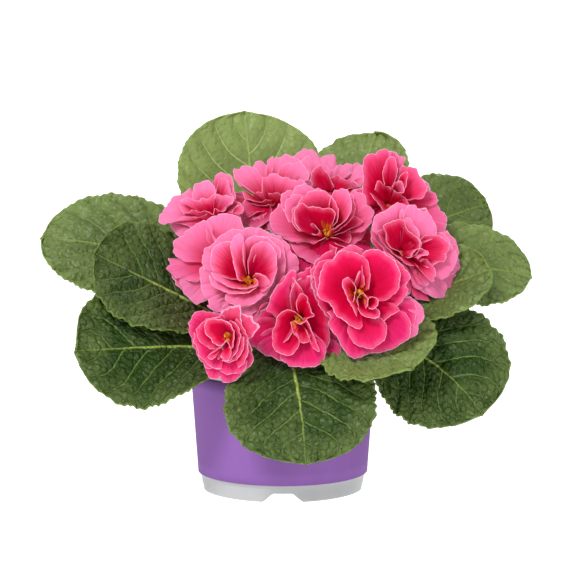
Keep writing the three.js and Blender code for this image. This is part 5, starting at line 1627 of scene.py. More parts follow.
        Plan(2, (2.3, 8.4, 5.6, 6.2, 7.3, 1.7, 7.3, -2.7, 6.2, -7.1, 4, -11, 1.2, -13.8,
            -2.7, -13.8), 0, 0.6, cup=1),
        Plan(3, (2.3, 6.2, -1, 8.4, -4.9, 8.9, -8.2, 9.5, -11.6, 7.3, -12.7, 4.5, -11.6, 1.2, -9.4, -1.6,
            -6.6, -4.4, -3.3, -5.5, -0.5, -3.3), 0, 0.8, cup=1.3),
        Plan(3.5, (-0.5, -2.7, -2.7, -6, -6, -8.3, -9.9, -10.5, -11, -12.1, -8.8, -13.2,
            -6, -11.6), 0.2, 0.4, cup=1),
        Plan(4, (-1.6, 8.4, 1.2, 7.3, 3.4, 4, 4, 0.1, 4, -3.8, 2.9, -7.1, 1.2, -6.6), 0, 0.4, cup=1),
        Plan(4.5, (-1, -2.7, 1.2, -4.4, 2.3, -7.7, 2.3, -11, 0.6, -13.8, -1.6, -13.2,
            -3.3, -11), 0.3, 0.4, cup=1),
    ),
    "bloom_07": (
        Plan(-4, (16.6, 0.8, 22.3, -0.3, 26.2, -2, 29.1, -5.4, 31.9, -8.8, 32.5, -13.4, 31.3, -17.3,
            27.9, -19.6, 23.4, -20.7), 0.2, 0.3),
        Plan(-2, (17.7, 5.3, 22.3, 5.3, 25.7, 3.6, 27.9, 0.2, 26.8, -2, 22.3, -3.7), 0.1, 0.3),
        Plan(5, (-0.4, 27.4, 2.4, 27.4, 5.3, 25.2, 9.2, 24, 8.1, 20.6, 6.4, 16.7,
            4.7, 13.3), 0.3, 0.1, cup=0.9),
        Plan(5, (-12.9, -3.7, -15.1, 3.1, -15.1, 7.6, -14.6, 13.3, -15.1, 18.9, -14, 23.5, -11.2, 26.3,
            -8.3, 25.7, -5.5, 28, -2.1, 28.6, 1.3, 27.4, 4.1, 26.3, 5.8, 22.3, 5.8, 17.8), 0.1, 0.6),
        Plan(5, (4.1, 13.3, 5.3, 17.2, 8.1, 18.9, 11.5, 18.9, 14.9, 17.2, 17.7, 13.3, 20, 9.3, 21.7, 6.5,
            19.4, 1.9, 17.2, 0.2, 12.1, 0.2, 7.5, -0.3), 0.1, 0.3, cup=0.9),
        Plan(3, (-12.9, 5.3, -10.6, 3.1, -7.8, -0.9, -4.4, -4.9, -1.5, -7.7, 3, -7.1), 0, 0.9, cup=0.9),
        Plan(6, (-8.3, 5.3, -6.6, 11, -3.8, 8.7, -0.4, 7.6, 2.4, 4.8, 6.4, 2.5, 9.8, -0.3, 10.9, -3.7,
            6.4, -4.9), 0, 0.5, cup=0.9),
        Plan(8, (-2.7, 8.7, -3.8, 14.4, -2.7, 19.5, -1, 22.3, 0.2, 24.6, 2.4, 24.6, 3.6, 22.3, 4.7, 17.8,
            4.1, 13.3, 2.4, 8.7), 0.1, 0.4, cup=1),
        Plan(9, (4.1, 8.7, 5.8, 12.7, 7.5, 15, 10.4, 15, 9.8, 11, 9.2, 7, 7.5, 4.8), 0, 1, cup=1.2),
        Plan(10, (1.3, 7, 3, 9.9, 5.8, 10.4, 8.1, 7.6, 8.1, 3.6, 5.3, 3.6, 2.4, 4.8), 0.4, 0.2, cup=1),
    ),
    "bloom_08": (
        Plan(-4, (-20.7, 2.8, -18.4, -6.3, -13.9, -13.1, -7.1, -17.6, 0.9, -16.5,
            5.4, -8.5), -0.2, 0.6, cup=1.3),
        Plan(-3, (-13.9, -2.9, -13.3, -6.8, -11, -10.2, -7.1, -11.9, -3.7, -11.4, -0.3, -10.2, 0.9, -6.8,
            -0.3, -4), 0.1, 0.3, cup=1.2),
        Plan(-2, (-15.6, 3.9, -13.9, -0.6, -10.5, -2.9, -4.8, -3.4, 0.9, -2.9, 7.1, 0.5,
            11.1, 2.8), 0, 0.8),
        Plan(1, (-11, 16.4, -9.9, 19.8, -8.2, 21.5, -5.4, 22.1, -3.1, 20.9, -1.4, 17.5,
            -1.4, 14.1), 0.3, cup=0.9),
        Plan(3, (-2.5, 15.3, -2, 19.8, -1.4, 23.2, 0.9, 24.3, 2, 22.1, 2, 17.5), 0.2, 0.2, cup=0.9),
        Plan(1, (-16.1, 5.1, -14.4, 1.1, -11.6, -0.6, -7.1, -1.2, -2.5, -0.6, 2.6, 0.5,
            7.7, 3.4), 0, 0.6, cup=0.9),
        Plan(4, (0.9, 16.4, 2, 22.1, 3.7, 24.3, 7.1, 24.9, 11.1, 24.9, 14.5, 23.2, 17.9, 20.4, 20.2, 17.5,
            20.2, 13.6), 0.4, 0.1, cup=0.9),
        Plan(3, (-17.3, 7.3, -21.2, 11.3, -22.9, 14.7, -21.2, 17.5, -17.8, 18.1, -15, 19.2, -10.5, 18.7,
            -7.1, 16.4, -4.8, 13, -4.2, 8.5), 0.4, 0.1, cup=0.9),
        Plan(6, (4.3, 14.1, 6, 18.7, 8.8, 20.4, 12.8, 20.9, 16.8, 20.4, 20.2, 17.5, 21.9, 14.7,
            21.3, 10.7), 0.3, 0.3, cup=0.9),
        Plan(4, (-22.9, 15.3, -21.2, 12.4, -17.3, 8.5, -12.2, 5.1, -7.1, 3.9, -3.7, 5.1,
            -4.2, 9.6), 0.4, cup=0.9),
        Plan(5, (15.6, 10.7, 18.5, 15.3, 21.3, 17.5, 23, 14.1, 21.9, 10.2, 18.5, 9), 0, 1, cup=1.2),
        Plan(8, (-4.8, 3.9, -4.8, 9.6, -3.7, 12.4, -0.3, 14.1, 4.3, 13.6, 10, 11.9, 16.2, 10.7, 20.2, 9,
            17.9, 5.1, 12.2, 3.4, 5.4, 2.8, -1.4, 3.4), 0.3, 0.1, cup=0.9),
    ),
    "bloom_09": (
        Plan(-5, (-24.1, -2.4, -22.4, -5.8, -20.1, -9.7, -17.3, -13.7, -12.8, -13.7, -8.2, -11.4,
            -2.6, -8.1, 1.9, -4.7), 0, 0.2),
        Plan(-1, (-24.1, -4.1, -18.4, -5.2, -14.5, -1.8, -10.5, -1.8, -7.1, -3.5, -3.7, -1.8, -0.3, -1.3,
            4.2, -1.8), 0, 0.4),
        Plan(0, (7.6, -0.1, 11, 2.7, 13.8, 5.5, 16.7, 6.7, 19.5, 3.8, 20.6, 1, 18.4, -1.3,
            15, -1.3), 0.1, 0.7),
        Plan(2, (1.9, 11.2, 2.5, 18, 4.2, 21.4, 7.6, 21.9, 11, 22.5, 13.3, 20.2, 14.4, 14.6,
            15.5, 7.8), 0.1, 0.5, cup=0.9),
        Plan(2, (-10.5, 14, -13.9, 11.2, -18.4, 9.5, -21.8, 7.8, -23.5, 4.4, -24.6, 2.1, -26.9, -0.1,
            -28, -3, -27.5, -5.8, -23.5, -6.4, -19, -5.2, -15, -2.4), 0.3, 0.1, cup=0.9),
        Plan(4, (4.2, 11.2, 5.3, 16.8, 7, 20.2, 9.9, 19.1, 11.6, 15.7, 12.7, 11.2,
            15, 7.2), 0.1, 0.6, cup=0.9),
        Plan(2, (-17.3, 5, -15.6, 2.1, -13.9, -0.7, -10.5, 0.4, -7.7, 1, -5.4, 0.4, -2.6, 1, 0.2, -0.1,
            3.1, -0.7, 4.2, 2.1, 6.5, 0.4, 9.9, 1.6, 12.1, 5, 15, 6.7), 0.1, 0.5, cup=0.9),
        Plan(5, (-8.8, 6.7, -9.4, 11.2, -8.2, 15.1, -5.4, 17.4, -0.9, 18, 2.5, 15.7, 4.2, 12.3,
            3.6, 7.8), 0.4, cup=0.9),
        Plan(5, (-16.2, 6.1, -13.9, 8.4, -10.5, 7.8, -5.4, 6.7, -0.9, 7.8, 2.5, 10.1, 6.5, 10.1, 11, 8.9,
            14.4, 7.8, 13.3, 4.4), 0.3, 0.2, cup=0.9),
    ),
    "bloom_10": (
        Plan(0, (-24.2, -6.6, -27.6, -8.8, -28.2, -12.2, -26.5, -16.7, -23.1, -20.1, -19.7, -22.3,
            -15.8, -22.3, -14.1, -20.1), 0, 0.2),
        Plan(1, (-20.9, -9.9, -19.7, -16.7, -18.6, -20.6, -16.4, -22.9, -13.5, -22.9, -11.3, -25.1,
            -9.1, -23.4, -6.8, -22.3, -4.6, -20.1, -4, -15.6), 0.3),
        Plan(2, (-19.7, 2.4, -24.2, 1.8, -27, 2.4, -26.5, -1, -27.6, -3.8, -25.9, -7.1, -23.1, -8.8,
            -18.6, -9.4, -14.1, -10.5, -9.6, -10.5, -6.8, -7.7), 0.1, 0.1),
        Plan(2, (-5.1, 13.6, -5.1, 21.5, -2.9, 25.4, 1.6, 27.1, 7.2, 27.1, 11.7, 26, 14, 23.2, 15.7, 19.3,
            14, 14.8, 7.2, 11.4), 0.3),
        Plan(3, (-16.4, 0.2, -20.9, 2.4, -24.2, 6.3, -23.7, 10.8, -21.4, 13.6, -18, 15.3, -15.8, 18.7,
            -13, 20.4, -9.6, 22.1, -6.2, 23.8, -3.4, 21.5, -1.8, 17, -0.1, 12.5, -1.2, 6.9, -4, 2.4), 0.2),
    ),
    "bloom_11": (
        Plan(-3, (9.2, 4.1, 11.5, 7.5, 12.1, 10.4, 14.9, 12.1, 18.4, 12.1, 20.7, 8.6, 19.5, 2.9,
            16.1, -0.5), 0.3),
        Plan(-2, (0, 6.4, 1.2, 9.2, 4.6, 10.4, 8.1, 12.1, 11.5, 11.5, 12.7, 7.5, 10.4, 4.1, 4.6, 2.9), 0.3),
        Plan(-3, (-6.8, 12.1, -4.5, 15.5, -2.3, 17.2, 1.2, 17.2, 3.5, 15, 4.1, 10.9, 5.8, 7.5), 0.2),
        Plan(-1, (-19.4, 6.4, -21.7, 13.2, -20, 17.8, -17.2, 19, -12.6, 20.7, -8.6, 19, -5.7, 16.1,
            -2.8, 13.2, 0.6, 7.5), 0.4),
        Plan(1, (-1.1, 2.9, 2.3, 4.6, 6.9, 3.5, 11.5, 0.6, 16.1, -2.2, 18.4, 0.6,
            19.5, 4.1), 0, 0.5, cup=0.9),
        Plan(2, (-17.2, 7.5, -16.6, 13.2, -13.7, 15.5, -10.3, 14.4, -6.8, 12.1, -3.4, 8.6, 0, 2.9,
            2.3, -1.7), 0.3, 0.1, cup=0.9),
        Plan(3, (-11.4, -2.8, -11.4, 4.1, -9.7, 8.6, -6.3, 9.8, -2.3, 6.9, 0.6, 1.8,
            2.3, -2.8), 0.1, 0.6, cup=0.9),
    ),
}


@dataclass(frozen=True)
class Petal:
    """One petal on its own bowl about the bloom's axis."""

    azimuth: float
    spread: float
    length: float
    root_lean: float
    edge_lean: float
    root_height: float
    phase: float
    # A small random swing of tone, and on backing petals painted shade as well.
    shade: float
    seed: int


@dataclass
class Bloom:
    """One double bloom with its petals and eye."""

    name: str
    at: Triple
    facing: Triple
    size: float
    turn: float
    ring: float
    tint: float
    eye: float
    backing: float = 0.46
    plans: tuple[Plan, ...] = ()

    PETALS = 16
    TURN = 137.5
    REACH = (1.12, 0.36)
    ROOT_LEAN = (46.0, 14.0)
    EDGE_LEAN = (122.0, 66.0)
    SPREAD = (56.0, 68.0)
    ROOT_HEIGHT = (0.0, 0.14)
    ROOT_RADIUS = 0.05
    NOTCH = 0.06
    SHOULDER = 0.46
    SWAY = 6.0
    SKIN = 0.16
    BEHIND = 0.2
    BEFORE = 0.15
    CALYX = 13.0
    STALK_FOOT = 83.0
    STALK_RISE = 20.0
    STALK_PULL = (0.4, 0.24)
    BACKING = 5
    BACKING_LEAN = (76.0, 70.0)
    BACKING_EDGE = (108.0, 102.0)
    BACKING_PLACE = 0.1
    # Backing petals are darkened by this much: painted shade filling the gaps behind a planned bloom.
    BACKING_PAINTED_SHADE = -0.4
    OWN = 2.399
    STRAY = 6.0
    UNEVEN = 0.05
    SCALLOPS = ((0.022, 8, 1), (0.014, 17, 2), (0.008, 31, 3))
    RUFFLES = ((0.055, 4.5, 1), (0.035, 8.0, 2.3), (0.014, 17.0, 1))
    NOTCH_WIDTH = 0.16
    ROLL = 14.0
    RIM_STEP = 1.3
    WAVES = ((1.0, 1.25, 1), (0.6, 0.72, 2.1), (0.5, 2.9, 1))
    FRAYS = ((0.2, 0.6, 3), (0.22, 1.4, 1))
    FACE_ON = 0.4
    WAVE_DEPTH = 0.62
    CURL = 0.9
    FOLD = 0.5
    FOLD_LENGTH = 3.7
    THINNING = 0.4
    ROWS = 17
    COLUMNS = 23
    PLANNED_ROWS = 16

    def __post_init__(self) -> None:
        """Works out the bloom's own axes."""
        self.number = int(self.name[-2:])
        self.axis = unit(np.array(self.facing, float))
        self.across = unit(np.cross(UP, self.axis))
        self.above = np.cross(self.axis, self.across)
        self.throat = np.array(self.at, float)
        self.root = self.throat - self.axis * self.size * self.BEHIND
        self.middle = self.throat + self.axis * self.size * self.BEFORE

    def spiral(self) -> list[Petal]:
        """The petals that follow a spiral: all of an unplanned bloom's, or a planned one's backing.

        Returns:
            The petals, outermost first.
        """
        draw = Draw(self.number)
        phase = draw() * math.pi
        count, span, held, pale = self.PETALS, 1.0, 1.0, 0.0
        leans, edges = self.ROOT_LEAN, self.EDGE_LEAN
        if self.plans:
            # A planned bloom's backing petals are darkened as painted shade.
            count, span, held, pale = self.BACKING, self.BACKING_PLACE, self.backing, self.BACKING_PAINTED_SHADE
            leans, edges = self.BACKING_LEAN, self.BACKING_EDGE
        made = []
        for k in range(count):
            place = k / (count - 1) * span
            azimuth = self.turn + k * self.TURN + draw() * self.STRAY
            radius = mix(*self.REACH, place) * self.size * held * (1 + draw() * self.UNEVEN)
            root, edge = mix(*leans, place), mix(*edges, place)
            start, end = math.radians(root), math.radians(edge)
            reached = (math.cos(start) - math.cos(end)) / (end - start)
            made.append(
                Petal(
                    azimuth=azimuth,
                    spread=mix(*self.SPREAD, place),
                    length=(radius - self.ROOT_RADIUS * self.size) / reached,
                    root_lean=root,
                    edge_lean=edge,
                    root_height=mix(*self.ROOT_HEIGHT, place) * self.size,
                    phase=phase,
                    shade=pale + 0.04 * math.sin(2.4 * k + self.number),
                    seed=self.number * 40 + k,
                )
            )
        return made

    def sheet(self, petal: Petal, u: Array, v: Array) -> tuple[Array, Array, Array]:
        """A petal's middle surface.

        Args:
            petal: The petal.
            u: Shares of its length, rows by columns.
            v: Places across its fan from -1 to 1.

        Returns:
            Points, distance to the margin in millimetres, and share of the way out.
        """
        own = petal.seed * self.OWN
        widen = 0.7 + 0.3 * np.sin(math.pi / 2 * np.minimum(u / 0.6, 1))
        angle = np.radians(petal.azimuth + petal.spread * v * widen)
        sway = np.sin(2 * angle + petal.phase) + 0.6 * np.sin(3 * angle - 2 * petal.phase)
        scallop = sum(high * np.sin(rate * v + shift * own) for high, rate, shift in self.SCALLOPS)
        notch = self.NOTCH * (0.6 + 0.6 * math.sin(own * 3)) * np.exp(-((v / self.NOTCH_WIDTH) ** 2))
        edge = 1 - self.SHOULDER * np.abs(v) ** 2.3 - notch + scallop
        start = math.radians(petal.root_lean)
        end = math.radians(petal.edge_lean)
        lean = mix(start, end, u * edge) + math.radians(self.ROLL) * (u * edge) ** 8
        bend = petal.length / (end - start)
        radius = self.ROOT_RADIUS * self.size + bend * (math.cos(start) - np.cos(lean))
        height = petal.root_height + bend * (np.sin(lean) - math.sin(start))
        lift = self.size * math.radians(self.SWAY) * sway * u**2
        ruffle = sum(high * np.sin(rate * v + shift * own) for high, rate, shift in self.RUFFLES)
        lift = lift + ruffle * self.size * u**3
        r = radius - lift * np.cos(lean)
        h = height + lift * np.sin(lean)
        points = (
            self.root
            + self.across * (r * np.cos(angle))[..., None]
            + self.above * (r * np.sin(angle))[..., None]
            + self.axis * h[..., None]
        )
        fan = radius * math.radians(petal.spread) + 6.0 * smooth(0.55 - u, 0.0, 0.3)
        margin = np.minimum((1 - u) * petal.length * edge, (1 - np.abs(v)) * fan)
        return points, margin, radius / self.size * 0.75 + 0.25 * u

    def add_petal(self, made: Surface, petal: Petal, cluster: "Posy") -> None:
        """Adds one petal to the bloom's surface.

        Args:
            made: The bloom's surface.
            petal: The petal.
            cluster: The blooms that press on this one.
        """
        rows = np.linspace(0, 1, self.ROWS)
        u = 0.03 + 0.97 * (1 - (1 - rows) ** 1.35)
        columns = np.linspace(-1, 1, self.COLUMNS)
        v = np.sign(columns) * (1 - (1 - np.abs(columns)) ** 1.25)
        u, v = np.meshgrid(u, v, indexing="ij")
        points, margin, reach = self.sheet(petal, u, v)
        points = cluster.settle(points, self)
        values = {
            "edge": margin,
            "reach": reach,
            "heart": self.beyond_eye(points),
            # On backing petals this tint carries painted shade.
            "tint": np.full(u.shape, np.clip(self.tint + petal.shade, -1, 1)),
        }
        chart = np.stack([v + petal.seed * 3.7, u + petal.seed * 1.3], axis=-1)
        skin = self.SKIN * (1 - self.THINNING * u)
        made.add_sheet(points, skin, skin, chart, values)

    def add_planned(self, made: Surface, order: int, plan: Plan, cluster: "Posy") -> None:
        """Adds one petal of a planned outline.

        Args:
            made: The bloom's surface.
            order: The petal's number.
            plan: Its rim, height and cup.
            cluster: The blooms that press on this one.
        """
        rim, along = rounded(np.array(plan.rim, float).reshape(-1, 2), self.RIM_STEP)
        own = (self.number * 40 + order) * self.OWN
        wave = sum(high * np.sin(along / length + shift * own) for high, length, shift in self.WAVES)
        ends = smooth(np.minimum(along, along[-1] - along), 0.0, 6.0)
        frayed = sum(high * ends * np.sin(along / length + shift * own) for high, length, shift in self.FRAYS)
        rim = rim + unit(rim) * frayed[:, None]
        axis = unit(self.axis + self.FACE_ON * FRONT)
        facing = np.array([axis @ RIGHT, axis @ RISE, axis @ FRONT])
        depth = (plan.high - rim @ facing[:2]) / facing[2]
        spoke = rim[:, :1] * RIGHT + rim[:, 1:] * RISE
        edge = self.throat + rim[:, :1] * RIGHT + rim[:, 1:] * RISE + depth[:, None] * FRONT
        flat = self.root + 0.04 * self.size * unit(spoke - (spoke @ self.axis)[:, None] * self.axis)
        rows = np.linspace(0, 1, self.PLANNED_ROWS)
        out = (1 - (1 - rows) ** 1.75)[:, None]
        ray = edge - flat
        over = (ray @ self.axis)[None, :, None] * self.axis
        points = flat + (ray - over) * out[..., None] + over * out[..., None] ** plan.cup
        lift = self.WAVE_DEPTH * ends * wave * out**3 * (1 - 0.25 * np.cos(own))
        curl = -self.CURL * np.maximum(0, (out - 0.8) / 0.2) ** 2
        fold = self.FOLD * np.sin(along / self.FOLD_LENGTH + own)[None, :] * ends * np.sin(math.pi * out)
        points = cluster.settle(points + self.axis * (lift + curl + fold)[..., None], self)
        beside = np.linalg.norm(points[:, :, None] - points[-1][None, None], axis=-1).min(axis=-1)
        share = np.broadcast_to(out, beside.shape)
        away = np.linalg.norm(points - self.throat, axis=-1) / self.size
        values = {
            "edge": beside,
            "reach": np.clip(0.5 * share + 0.45 * away + 0.08 - 0.5 * plan.flush, 0.0, 1.2),
            "heart": self.beyond_eye(points),
            "tint": np.full(beside.shape, np.clip(self.tint + plan.pale, -1, 1)),
        }
        across = np.linspace(-1, 1, len(rim))[None, :] * np.ones((len(rows), 1)) * along[-1] / 50
        chart = np.stack([across + order * 3.7, share + order * 1.3], axis=-1)
        skin = self.SKIN * (1 - self.THINNING * share)
        made.add_sheet(points, skin, skin, chart, values)

    def beyond_eye(self, points: Array) -> Array:
        """How far points lie outside the bloom's yellow eye, as a share of its size."""
        return np.linalg.norm(points - self.throat, axis=-1) / self.size + 0.2 * (1 - self.eye)

    def stalk(self) -> Curve:
        """The flower stalk.

        Returns:
            Its middle line, from the crown to the calyx.
        """
        end = self.root - self.axis * self.CALYX
        start = unit(self.throat * LEVEL) * self.ring + UP * self.STALK_FOOT
        apart = float(np.linalg.norm(end - start))
        rise = unit(start * LEVEL + UP * self.STALK_RISE)
        low, high = self.STALK_PULL
        return Curve(start, start + rise * apart * low, end - self.axis * apart * high, end)


@dataclass
class Posy:
    """All the plant's blooms, which press against each other, with their stalks."""

    # The seventh column is each bloom's tint; the low tints of bloom_04 and bloom_05 are partly their own
    # deeper crimson and partly painted shade.
    rows: tuple = (
        ("bloom_01", (25, -27, 151), (0.05, -0.7, 0.71), 35, 90, 5, 0.4, 1, 0.66),
        ("bloom_02", (-19, -51, 126.5), (-0.04, -0.98, 0.2), 34, 20, 5.5, 1.0, 1, 0.6),
        ("bloom_03", (42, -70, 122.2), (0.04, -0.98, 0.18), 39, 55, 8, -0.05, 1, 0.2),
        ("bloom_04", (8, -63, 106.7), (-0.2, -0.97, 0.05), 33, 0, 9.5, -0.4, 1, 0.62),
        ("bloom_05", (-31, -74, 99.3), (-0.42, -0.9, 0.0), 25, 30, 9.5, -0.6, 1),
        ("bloom_06", (68, -34, 141), (0.3, -0.9, 0.3), 34, 70, 6, 0.4, 0.6, 0.52),
        ("bloom_07", (60, 0, 165), (0.1, -0.74, 0.66), 32, 10, 6, 0.2, 0.4),
        ("bloom_08", (-7, 2, 165), (-0.1, -0.56, 0.82), 33, 40, 1.5, 1.0, 0, 0.52),
        ("bloom_09", (-42, -4, 158.5), (-0.36, -0.5, 0.79), 31, 0, 6, 0.9, 0),
        ("bloom_10", (-38, -27, 133.1), (-0.62, -0.76, 0.2), 32, 60, 9, 0.4, 0),
        ("bloom_11", (27, 32, 170), (0.1, -0.2, 0.97), 30, 15, 5, 0.8, 0, 0.56),
        ("bloom_12", (-63, 54, 118), (-0.62, 0.68, 0.38), 30, 35, 9.5, 0.6, 0.6),
        ("bloom_13", (66, 66, 110), (0.62, 0.7, 0.35), 28, 80, 9.5, 0.4, 0.6),
        ("bloom_14", (9, 70.3, 121.7), (0.08, 0.92, 0.36), 32, 50, 9.5, 0.5, 0.6),
    )
    presses: tuple = (
        (1, 6, (-0.852, 0.522, -0.027), -60.5),
        (1, 7, (-0.491, -0.859, 0.144), 10.6),
        (1, 8, (0.474, -0.866, 0.161), 38.2),
        (2, 4, (-0.456, 0.804, 0.382), 4.2),
        (2, 10, (0.004, -0.988, 0.154), 60.8),
        (3, 4, (0.512, -0.778, 0.365), 102.7),
        (8, 9, (0.758, 0.579, -0.300), -68.4),
        (8, 11, (-0.301, -0.638, 0.709), 106.7),
        (9, 10, (0.242, 0.946, 0.218), 7.0),
        (13, 14, (0.916, 0.369, 0.158), 85.7),
        (4, 0, (0.033, -0.617, 0.786), 102.3),
        (10, 0, (0.309, -0.641, 0.703), 77.1),
    )
    gap: float = 0.5
    sharpness: float = 12.0

    CLUSTER = 0.062
    CLUSTER_DEPTH = 0.07
    CLUSTER_LEAN = (1.35, 0.12)
    CLUSTER_ROWS = 5
    CLUSTER_SIDES = 12
    STALK = 1.35
    STALK_ROWS = 26
    STALK_SIDES = 14
    CALYX_AT = (0.8, 2.2, 3.4, 6.0, 9.0, 11.2, 12.6)
    CALYX_RADII = (1.6, 2.35, 2.6, 2.95, 3.3, 3.55, 2.6)
    CALYX_RIBS = 5
    RIB = 0.07

    def __post_init__(self) -> None:
        """Makes the blooms from their rows and plans."""
        self.blooms = [Bloom(*row, plans=PLANS.get(row[0], ())) for row in self.rows]

    def settle(self, points: Array, bloom: Bloom) -> Array:
        """Draws points towards a bloom's middle where a neighbour presses on it.

        Args:
            points: Points of the bloom.
            bloom: The bloom.

        Returns:
            The settled points.
        """
        tiny = 1e-6
        far = 1e9
        ray = points - bloom.middle
        distance = np.linalg.norm(ray, axis=-1)
        ray = ray / np.maximum(distance, tiny)[..., None]
        limit = np.full(distance.shape, far)
        for first, second, plane, at in self.presses:
            if bloom.number not in (first, second):
                continue
            side = 1.0 if bloom.number == first else -1.0
            inward = np.array(plane, float) * side
            room = float(bloom.middle @ inward) - at * side - self.gap
            slope = -(ray @ inward)
            limit = np.minimum(limit, np.where(slope > tiny, room / np.maximum(slope, tiny), far))
        yielded = distance / (1 + (distance / limit) ** self.sharpness) ** (1 / self.sharpness)
        return bloom.middle + ray * yielded[..., None]

    def build(self) -> list[Piece]:
        """Makes every bloom.

        Returns:
            The pieces, one a bloom.
        """
        velvet = PetalFinish().material()
        pieces = []
        for bloom in self.blooms:
            made = Surface()
            for petal in bloom.spiral():
                bloom.add_petal(made, petal, self)
            for order, plan in enumerate(bloom.plans):
                bloom.add_planned(made, order, plan, self)
            piece = made.piece(bloom.name.replace("bloom", "petals"), velvet)
            pieces.append(report(piece, Slot.PETALS, bloom.name))
        return pieces

    def anthers(self) -> list[Piece]:
        """Makes the anthers that the open blooms show.

        Returns:
            The pieces, one a bloom that shows them.
        """
        pollen = AntherFinish().material()
        turns = spaced(self.CLUSTER_SIDES)
        lean = np.linspace(*self.CLUSTER_LEAN, self.CLUSTER_ROWS)[:, None]
        pieces = []
        for bloom in self.blooms:
            if bloom.plans and bloom.eye < 1:
                continue
            spot = bloom.throat - bloom.axis * bloom.size * self.CLUSTER_DEPTH
            rings = spot + bloom.size * self.CLUSTER * (
                (np.sin(lean) * np.cos(turns))[..., None] * bloom.across
                + (np.sin(lean) * np.sin(turns))[..., None] * bloom.above
                + (np.cos(lean) * np.ones(len(turns)))[..., None] * bloom.axis
            )
            made = Surface()
            made.add_tube(rings, np.zeros((*rings.shape[:2], 2)), {})
            name = bloom.name.replace("bloom", "anthers")
            rule = Strewn(name, density=800000.0, size=0.62, flatness=1.8, seed=bloom.number)
            pieces.append(report(rule.over(made.piece(name + "_ground", pollen), pollen), Slot.PETALS))
        return pieces

    def stalk(self, bloom: Bloom) -> Surface:
        """One stalk with its ribbed calyx.

        Args:
            bloom: The bloom that it carries.

        Returns:
            The closed surface.
        """
        curve = bloom.stalk()
        share = np.linspace(0, 1, self.STALK_ROWS)
        ahead = curve.ahead(share)
        across = unit(np.cross(np.broadcast_to(bloom.above, ahead.shape), ahead))
        above = np.cross(ahead, across)
        steps = np.array(self.CALYX_AT)
        middle = np.concatenate([curve.at(share), curve.at(np.ones(1)) + bloom.axis * steps[:, None]])
        across = np.concatenate([across, np.repeat(bloom.across[None], len(steps), axis=0)])
        above = np.concatenate([above, np.repeat(bloom.above[None], len(steps), axis=0)])
        radius = np.concatenate([np.full(len(share), self.STALK), self.CALYX_RADII])
        row = np.arange(len(radius))[:, None]
        angles = spaced(self.STALK_SIDES)
        ribs = np.cos(self.CALYX_RIBS * angles) * smooth(row, self.STALK_ROWS, self.STALK_ROWS + 2)
        spread = (radius[:, None] * (1 + self.RIB * ribs))[..., None]
        rings = (
            middle[:, None]
            + across[:, None] * np.cos(angles)[None, :, None] * spread
            + above[:, None] * np.sin(angles)[None, :, None] * spread
        )
        throat = np.broadcast_to(row == row[-1], rings.shape[:2]).astype(float)
        made = Surface()
        made.add_tube(rings, np.stack(np.broadcast_arrays(row / 30, angles), axis=-1), {"throat": throat})
        return made

    def stalks(self) -> list[Piece]:
        """Makes every stalk.

        Returns:
            The pieces, one a bloom.
        """
        green = StalkFinish().material()
        pieces = []
        for bloom in self.blooms:
            piece = self.stalk(bloom).piece(bloom.name.replace("bloom", "stem"), green)
            pieces.append(report(piece, Slot.STALKS, bloom.name.replace("bloom", "stalk")))
        return pieces


# ---- Stage ----


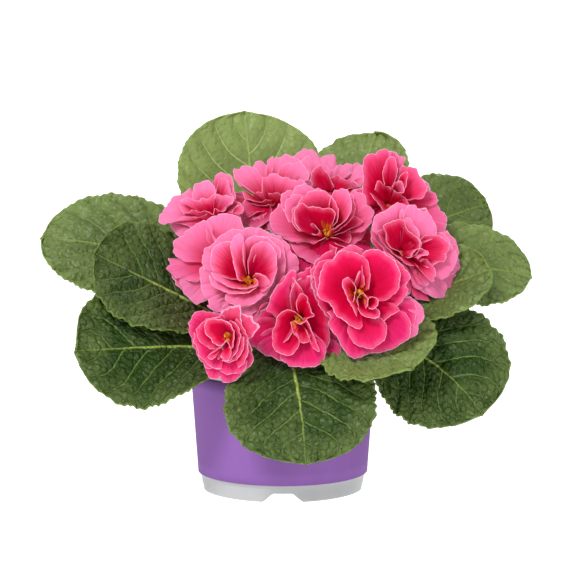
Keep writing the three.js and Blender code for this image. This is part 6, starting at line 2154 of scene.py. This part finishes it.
@dataclass
class Studio:
    """Pale floor, soft light and the camera."""

    eye: Triple = (1.818, -2567.99, 522.07)
    target: Triple = (1.818, 0.0, 115.34)
    lens: float = 290.0
    sensor: float = 36.0
    floor_reach: float = 6.0
    floor_grey: float = 0.6
    floor_glow: float = 0.92
    lamps: tuple = (
        ("key", (-0.9, -1.5, 1.9), 0.6, 46.0),
        ("fill", (1.5, -1.5, 0.7), 1.2, 14.0),
        ("side", (-2.2, -0.8, 0.4), 0.5, 6.0),
        ("back", (0.3, 1.4, 1.8), 1.2, 20.0),
    )
    lit_spot: Triple = (0.0, 0.0, 0.12)
    room: float = 0.34

    def build(self) -> None:
        """Sets the stage."""
        self.camera()
        self.floor()
        self.lights()
        self.surroundings()

    def camera(self) -> None:
        """Sets the camera."""
        data = bpy.data.cameras.new("camera")
        data.lens = self.lens
        data.sensor_width = self.sensor
        data.clip_end = 50.0
        camera = placed("camera", data)
        self.aim(camera, Vector(self.eye) * MM, Vector(self.target) * MM)
        bpy.context.scene.camera = camera

    def aim(self, thing: Piece, place: Vector, target: Vector) -> None:
        """Stands a camera or a light in its place and points it at a target."""
        thing.location = place
        thing.rotation_euler = (target - place).to_track_quat("-Z", "Y").to_euler()

    def floor(self) -> None:
        """Lays the floor."""
        reach = self.floor_reach
        corners = [(-reach, -reach, 0), (reach, -reach, 0), (reach, reach, 0), (-reach, reach, 0)]
        mesh = bpy.data.meshes.new("floor")
        mesh.from_pydata(corners, [], [(0, 1, 2, 3)])
        floor = placed("floor", mesh)
        made = Shader(
            "floor_white",
            Roughness=0.9,
            Specular_IOR_Level=0.0,
            Base_Color=(self.floor_grey, self.floor_grey, self.floor_grey, 1.0),
            Emission_Color=WHITE,
            Emission_Strength=self.floor_glow,
        )
        mesh.materials.append(made.material)

    def lights(self) -> None:
        """Hangs the lights."""
        for name, place, size, power in self.lamps:
            data = bpy.data.lights.new(name, "AREA")
            data.size = size
            data.energy = power
            self.aim(placed(name, data), Vector(place), Vector(self.lit_spot))

    def surroundings(self) -> None:
        """Lights the room, which the camera sees as white."""
        world = bpy.data.worlds.new("room")
        world.use_nodes = True
        made = Nodes(world.node_tree)
        shown = made.tree.nodes["Background"]
        shown.inputs["Color"].default_value = WHITE
        room = made.node("ShaderNodeBackground", {"Color": WHITE, "Strength": self.room})
        path = made.node("ShaderNodeLightPath").outputs["Is Camera Ray"]
        both = made.node("ShaderNodeMixShader", {0: path, 1: room.outputs[0], 2: shown.outputs[0]})
        made.put(made.tree.nodes["World Output"].inputs["Surface"], both.outputs[0])
        bpy.context.scene.world = world
        bpy.context.scene.view_settings.view_transform = "Standard"


def main() -> None:
    """Builds the whole scene."""
    Studio().build()
    pot = Pot()
    pot.build()
    pot.dress()
    Ground(pot).build()
    Foliage().build()
    posy = Posy()
    posy.build()
    posy.anthers()
    posy.stalks()


if __name__ == "__main__":
    logging.basicConfig(level=logging.INFO, format="%(message)s")
    main()
